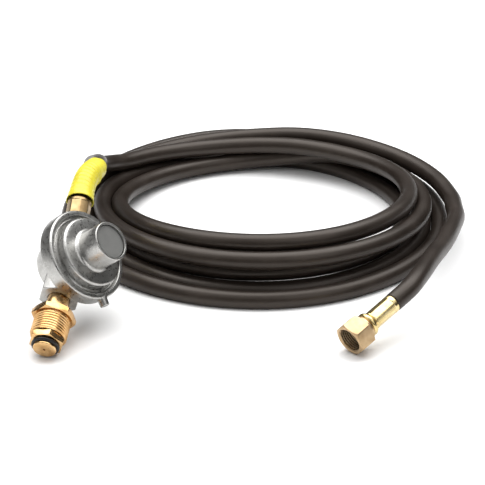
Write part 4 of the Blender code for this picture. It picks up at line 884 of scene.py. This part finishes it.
def walk(points, spacing, start=0.0, length=None):
    """Points at even steps along a fine line, from start on."""
    marks = [0.0]
    for a, b in zip(points, points[1:]):
        marks.append(marks[-1] + (b - a).length)
    end = marks[-1] if length is None else start + length
    count = ceil((end - start) / spacing)
    spots = []
    k = 0
    for step in range(count + 1):
        goal = start + (end - start) * step / count
        while k < len(points) - 2 and marks[k + 1] < goal:
            k += 1
        spots.append(points[k].lerp(points[k + 1], (goal - marks[k]) / (marks[k + 1] - marks[k])))
    return spots


def coil_plan():
    """Column and height of each station before the strands settle."""
    keys = []
    for number, row in enumerate(COIL_PASSES):
        for side, (column, layer) in enumerate(row):
            time = (number + (side + 1) / COIL_SIDES) * COIL_STATIONS
            keys.append((time, column * COIL_COLUMN * HOSE_D, layer * HOSE_D))
    last = int(keys[-1][0])

    def slope(k, which):
        before, after = keys[max(k - 1, 0)], keys[min(k + 1, len(keys) - 1)]
        return (after[which] - before[which]) / (after[0] - before[0])

    plan = []
    for station in range(COIL_START, last + 1):
        k = max(0, min(len(keys) - 2, sum(key[0] < station for key in keys) - 1))
        step = keys[k + 1][0] - keys[k][0]
        share = (station - keys[k][0]) / step
        plan.append([blend(keys[k][which], keys[k + 1][which], slope(k, which) * step,
                           slope(k + 1, which) * step, share) for which in (1, 2)])
    return plan


def push_apart(one, other, apart):
    """Move two strands away from each other, and neither under the ground."""
    across = other[0] - one[0]
    up = other[1] - one[1]
    distance = hypot(across, up) + TOUCHING
    if distance < apart:
        push = (apart - distance) / 2 / distance
        one[0] -= across * push
        other[0] += across * push
        one[1] = max(one[1] - up * push, 0.0)
        other[1] = max(other[1] + up * push, 0.0)


def settle(plan):
    """Let the strands push each other apart for a set number of rounds, as they stay near the plan."""
    strands = [list(spot) for spot in plan]
    apart = HOSE_D + COIL_AIR
    count = len(strands)
    for turn in range(SETTLE_ROUNDS):
        if turn < PLAN_ROUNDS:
            for strand, wish in zip(strands, plan):
                strand[0] += PLAN_PULL * (wish[0] - strand[0])
                strand[1] += PLAN_PULL * (wish[1] - strand[1])
        if turn < SMOOTH_ROUNDS:
            before = [list(strand) for strand in strands]
            for k in range(1, count - 1):
                for which in (0, 1):
                    middle = (before[k - 1][which] + before[k + 1][which]) / 2
                    strands[k][which] += SMOOTH_PULL * (middle - before[k][which])
        for strand in strands:
            strand[1] = max(strand[1], 0.0)
        for station in range(COIL_STATIONS):
            stack = range(station, count, COIL_STATIONS)
            for one in stack:
                for other in stack:
                    if other > one:
                        push_apart(strands[one], strands[other], apart)
    return strands


def coil_angle(k):
    """Where the coil's point k stands, seen from above."""
    return pi - 2 * pi * (k + COIL_START) / COIL_STATIONS


def coil_route():
    """Centre line of the coil, with one straight diameter at each end."""
    points = []
    for k, (column, height) in enumerate(settle(coil_plan())):
        angle = coil_angle(k)
        depth = COIL_FRONT + (COIL_BACK - COIL_FRONT) * (1 + sin(angle)) / 2
        points.append(Vector(((COIL_X + column) * cos(angle), (depth + column) * sin(angle),
                              height + HOSE_R - COIL_SINK)))
    first, last = coil_angle(0), coil_angle(len(points) - 1)
    back = Vector((-sin(first) * HOSE_D, cos(first) * HOSE_D, COIL_START_RISE)).normalized() * HOSE_D
    ahead = Vector((sin(last) * HOSE_D, -cos(last) * HOSE_D, 0))
    return [COIL_CENTRE + spot for spot in (points[0] + back, *points, points[-1] + ahead)]


def hose_line():
    """Fine centre line from the outlet's ferrule to the flare's ferrule, and its lead alone."""
    coil = coil_route()
    outlet_way = OUTLET.to_3x3() @ Vector((1, 0, 0))
    outlet_face = OUTLET @ Vector((OUTLET_FACE_X, 0, 0))
    way_in = (coil[1] - coil[0]).normalized()
    lead_marks = [outlet_face + outlet_way * HOSE_R / 2, *(COIL_CENTRE + Vector(spot) for spot in LEAD_ROUTE),
                  coil[0] - way_in * (FIT + HOSE_D)]
    lead = [outlet_face, *smooth_run(lead_marks, outlet_way, way_in)]

    flare_way = FLARE.to_3x3() @ Vector((1, 0, 0))
    flare_face = FLARE @ Vector((FLARE_FACE_X, 0, 0))
    way_out = (coil[-1] - coil[-2]).normalized()
    tail_marks = [coil[-1] + way_out * (FIT + HOSE_D), *(COIL_CENTRE + Vector(spot) for spot in TAIL_ROUTE),
                  flare_face + flare_way * HOSE_D]
    tail = [*smooth_run(tail_marks, way_out, -flare_way), flare_face]
    turns = smooth_run(coil, way_in, way_out, fineness=8)
    return [*lead, *turns, *tail], lead


def lofted_tube(name, rings, closed_wall=False):
    """Quads between rings of points, with a chart: round the tube in U, metres along it in V."""
    sides = len(rings[0])
    mesh = bmesh.new()
    rows = [[mesh.verts.new(spot) for spot in ring] for ring in rings]
    chart = mesh.loops.layers.uv.new("chart")
    along = [0.0]
    for a, b in zip(rings, rings[1:]):
        along.append(along[-1] + sum((q - p).length for p, q in zip(a, b)) / sides)
    pairs = list(zip(rows, rows[1:]))
    for number, (row, following) in enumerate(pairs):
        for k in range(sides):
            after = (k + 1) % sides
            face = mesh.faces.new((row[k], row[after], following[after], following[k]))
            face.smooth = True
            spots = ((k, number), (k + 1, number), (k + 1, number + 1), (k, number + 1))
            for loop, (side, step) in zip(face.loops, spots):
                loop[chart].uv = (side / sides, along[step])
    if closed_wall:
        for k in range(sides):
            after = (k + 1) % sides
            mesh.faces.new((rows[-1][k], rows[-1][after], rows[0][after], rows[0][k])).smooth = True
    else:
        mesh.faces.new(rows[0][::-1])
        mesh.faces.new(rows[-1])
    bmesh.ops.recalc_face_normals(mesh, faces=mesh.faces)
    data = bpy.data.meshes.new(name)
    mesh.to_mesh(data)
    mesh.free()
    piece = bpy.data.objects.new(name, data)
    bpy.context.scene.collection.objects.link(piece)
    return piece


def around(spot, way, radius, sides, shape=None):
    """A ring of points round a line, its first point underneath. The shape adds to the radius."""
    side = way.cross(Vector((0, 0, 1))).normalized()
    up = side.cross(way)
    ring = []
    for k in range(sides):
        angle = 2 * pi * k / sides - pi / 2
        out = radius + (shape(angle) if shape else 0)
        ring.append(spot + out * (side * cos(angle) + up * sin(angle)))
    return ring


def ways(spots):
    """The line's direction at each of its points."""
    last = len(spots) - 1
    return [(spots[min(k + 1, last)] - spots[max(k - 1, 0)]).normalized() for k in range(last + 1)]


def make_hose(line):
    """One unbroken hose, pressed flat where it lies on the ground, drawn in where the ferrules grip it."""
    spots = walk(line, HOSE_STEP)
    directions = ways(spots)
    first, last = directions[0], directions[-1]
    rings = [around(spots[0] + first * reach, first, radius, HOSE_SIDES) for reach, radius in GRIP]
    rings += [around(spot, way, HOSE_R, HOSE_SIDES) for spot, way in zip(spots[1:-1], directions[1:-1])]
    rings += [around(spots[-1] - last * reach, last, radius, HOSE_SIDES) for reach, radius in GRIP[::-1]]
    for ring in rings:
        for spot in ring:
            spot.z = max(spot.z, 0.0)
    hose = lofted_tube("rubber_hose", rings)
    finish(hose, RUBBER, "regulator", "hose_rubber", "hose_lead", "hose_coil", "hose_tail", angle=0)
    return hose, spots


# ---------------- sleeve
SLEEVE_START = 0.0006
SLEEVE_LENGTH = 0.045
SLEEVE_STEP = 0.0009
SLEEVE_SIDES = 64
SLEEVE_R = 0.0074
SLEEVE_WALL = 0.0004
SLEEVE_FLARE = 0.0015  # at the ferrule's end, gone after three tenths of the length
SLEEVE_SNUG = 0.0004  # at the other end
BEND_SIDE = radians(-35)  # the inside of the bend
WAVE_HEIGHT = 0.00075  # folds on the inside of the bend
SLACK_HEIGHT = 0.00022  # slow unevenness all along
RUCK_HEIGHT = 0.00034  # fine folds round the sleeve


def crumple(share, angle):
    """How far the sleeve stands off its round shape, at a share of its length and an angle round it."""
    flare = SLEEVE_FLARE * max(0.0, 1 - share / 0.30) ** 1.5
    snug = -SLEEVE_SNUG * max(0.0, (share - 0.72) / 0.28)
    inside = max(0.0, cos(angle - BEND_SIDE)) ** 2
    middle = max(0.0, 1 - abs(share - 0.62) / 0.30)
    waves = WAVE_HEIGHT * inside * middle * sin(share * 62 + 1.6 * sin(angle * 2))
    slack = SLACK_HEIGHT * sin(angle * 2 + share * 5) * (1 - share * 0.6)
    folds = sin(share * 80 + 2.2 * sin(angle + 0.8) + 0.9 * sin(angle * 3))
    rucks = RUCK_HEIGHT * folds * min(1, 4 * share)
    return flare + snug + waves + slack + rucks


def make_sleeve(lead):
    """A thin vinyl sleeve, open at the ferrule's end and crumpled on the inside of the bend."""
    spots = walk(lead, SLEEVE_STEP, start=SLEEVE_START, length=SLEEVE_LENGTH)
    last = len(spots) - 1
    outer, inner = [], []
    for k, (spot, way) in enumerate(zip(spots, ways(spots))):
        shape = partial(crumple, k / last)
        outer.append(around(spot, way, SLEEVE_R, SLEEVE_SIDES, shape))
        inner.append(around(spot, way, SLEEVE_R - SLEEVE_WALL, SLEEVE_SIDES, shape))
    sleeve = lofted_tube("vinyl_sleeve", outer + inner[::-1], closed_wall=True)
    return finish(sleeve, YELLOW, "regulator", "sleeve_yellow", "yellow_sleeve", angle=0)


def dress_inner_pieces():
    """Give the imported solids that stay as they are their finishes."""
    surfaces = (
        (OUTLET_BRASS, ("adjusting_screw", "diaphragm_post", "relief_nut")),
        (INLET_BRASS, ("valve_holder", "inlet_orifice", "excess_flow_poppet", "excess_flow_seat")),
        (STEEL, ("relief_spring", "diaphragm_plate", "valve_lever", "lever_pin", "vent_screen")),
        (SEAL, ("diaphragm", "valve_seat_disc", "outlet_hose_end", "flare_hose_end")),
    )
    for surface, names in surfaces:
        for name in names:
            for slot in frame["nodes"][name].material_slots:
                slot.material = surface


def make_spring(node_name, name):
    """A spring: a copy of the imported solid, joined up and finished in steel on the regulator's body."""
    node = frame["nodes"][node_name]
    spring = bpy.data.objects.new(name, node.data.copy())
    bpy.context.scene.collection.objects.link(spring)
    take_up(spring)
    bpy.ops.object.mode_set(mode="EDIT")
    join_up()
    finish(spring, STEEL, "regulator", "steel", node_name)
    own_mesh(spring)


# ---------------- floor and light
FLOOR_SIZE = 6
FLOOR_PLACE = (0.1, 0.6, 0)


def lay_floor():
    put_down()
    bpy.ops.mesh.primitive_plane_add(size=FLOOR_SIZE, location=FLOOR_PLACE)
    floor = bpy.context.active_object
    floor.name = "studio_floor"
    settle_place(floor)
    white = new_finish("studio_white", (0.93, 0.93, 0.93), 0.9, specular=0.1)[0]
    floor.data.materials.append(white)


def lamp(name, place, aim, size, power):
    """A rectangular lamp that points at its aim."""
    light = bpy.data.lights.new(name, "AREA")
    light.shape = "RECTANGLE"
    light.size, light.size_y = size
    light.energy = power
    holder = bpy.data.objects.new(name, light)
    bpy.context.scene.collection.objects.link(holder)
    holder.location = place
    holder.rotation_euler = (Vector(aim) - Vector(place)).to_track_quat("-Z", "Y").to_euler()


def light_studio():
    """Bright air above, dark near the horizon, and three lamps."""
    bpy.context.scene.view_settings.view_transform = "Standard"
    world = bpy.data.worlds.new("studio_air")
    world.use_nodes = True
    tree = world.node_tree
    air = tree.nodes["Background"]
    air.inputs["Strength"].default_value = 1.0
    height = add(tree, "ShaderNodeSeparateXYZ")
    tree.links.new(add(tree, "ShaderNodeTexCoord").outputs["Generated"], height.inputs[0])
    sky = tones(tree, height.outputs["Z"], (0.0, (0.03, 0.03, 0.03)), (0.45, (0.10, 0.10, 0.10)),
                (0.8, (0.85, 0.85, 0.85)))
    tree.links.new(sky, air.inputs["Color"])
    bpy.context.scene.world = world
    lamp("overhead", place=(0.10, 0.55, 1.5), aim=(0.10, 0.12, 0), size=(2.6, 1.6), power=46)
    lamp("left_side", place=(-1.1, -0.5, 0.9), aim=(0.05, 0.05, 0.03), size=(1.1, 1.1), power=2.5)
    lamp("right_front", place=(0.9, -0.9, 0.9), aim=(0.12, 0.0, 0.03), size=(0.9, 0.9), power=3)


# ---------------- the whole part, its floor and its light
set_up_camera()
line, lead = hose_line()
hose, hose_path = make_hose(line)
sleeve = make_sleeve(lead)
make_body()
make_bonnet()
make_cap()
make_nipple()
make_oring()
make_bottle_nut()
make_outlet_stem()
make_ferrule("outlet_crimp", "outlet_ferrule", outer_r=0.0075, wall=0.0012, bore_r=0.00395, start=0.0334,
             length=0.0141, flat_depth=0.00045, turn=0.2, place=OUTLET, material=DULL_BRASS,
             slot="dull_brass")
swivel_nut = make_swivel_nut()
flare_stem = make_flare_stem()
flare_crimp = make_ferrule("flare_crimp", "flare_ferrule", outer_r=0.0059, wall=0.0006, bore_r=0.0035,
                           start=0.0196, length=0.0199, flat_depth=0.0003, turn=0.1, place=FLARE,
                           material=FERRULE_BRASS, slot="bright_brass")
dress_inner_pieces()
make_spring("main_spring", "main_spring_wire")
make_spring("excess_flow_spring", "poppet_spring_wire")

lay_floor()
light_studio()
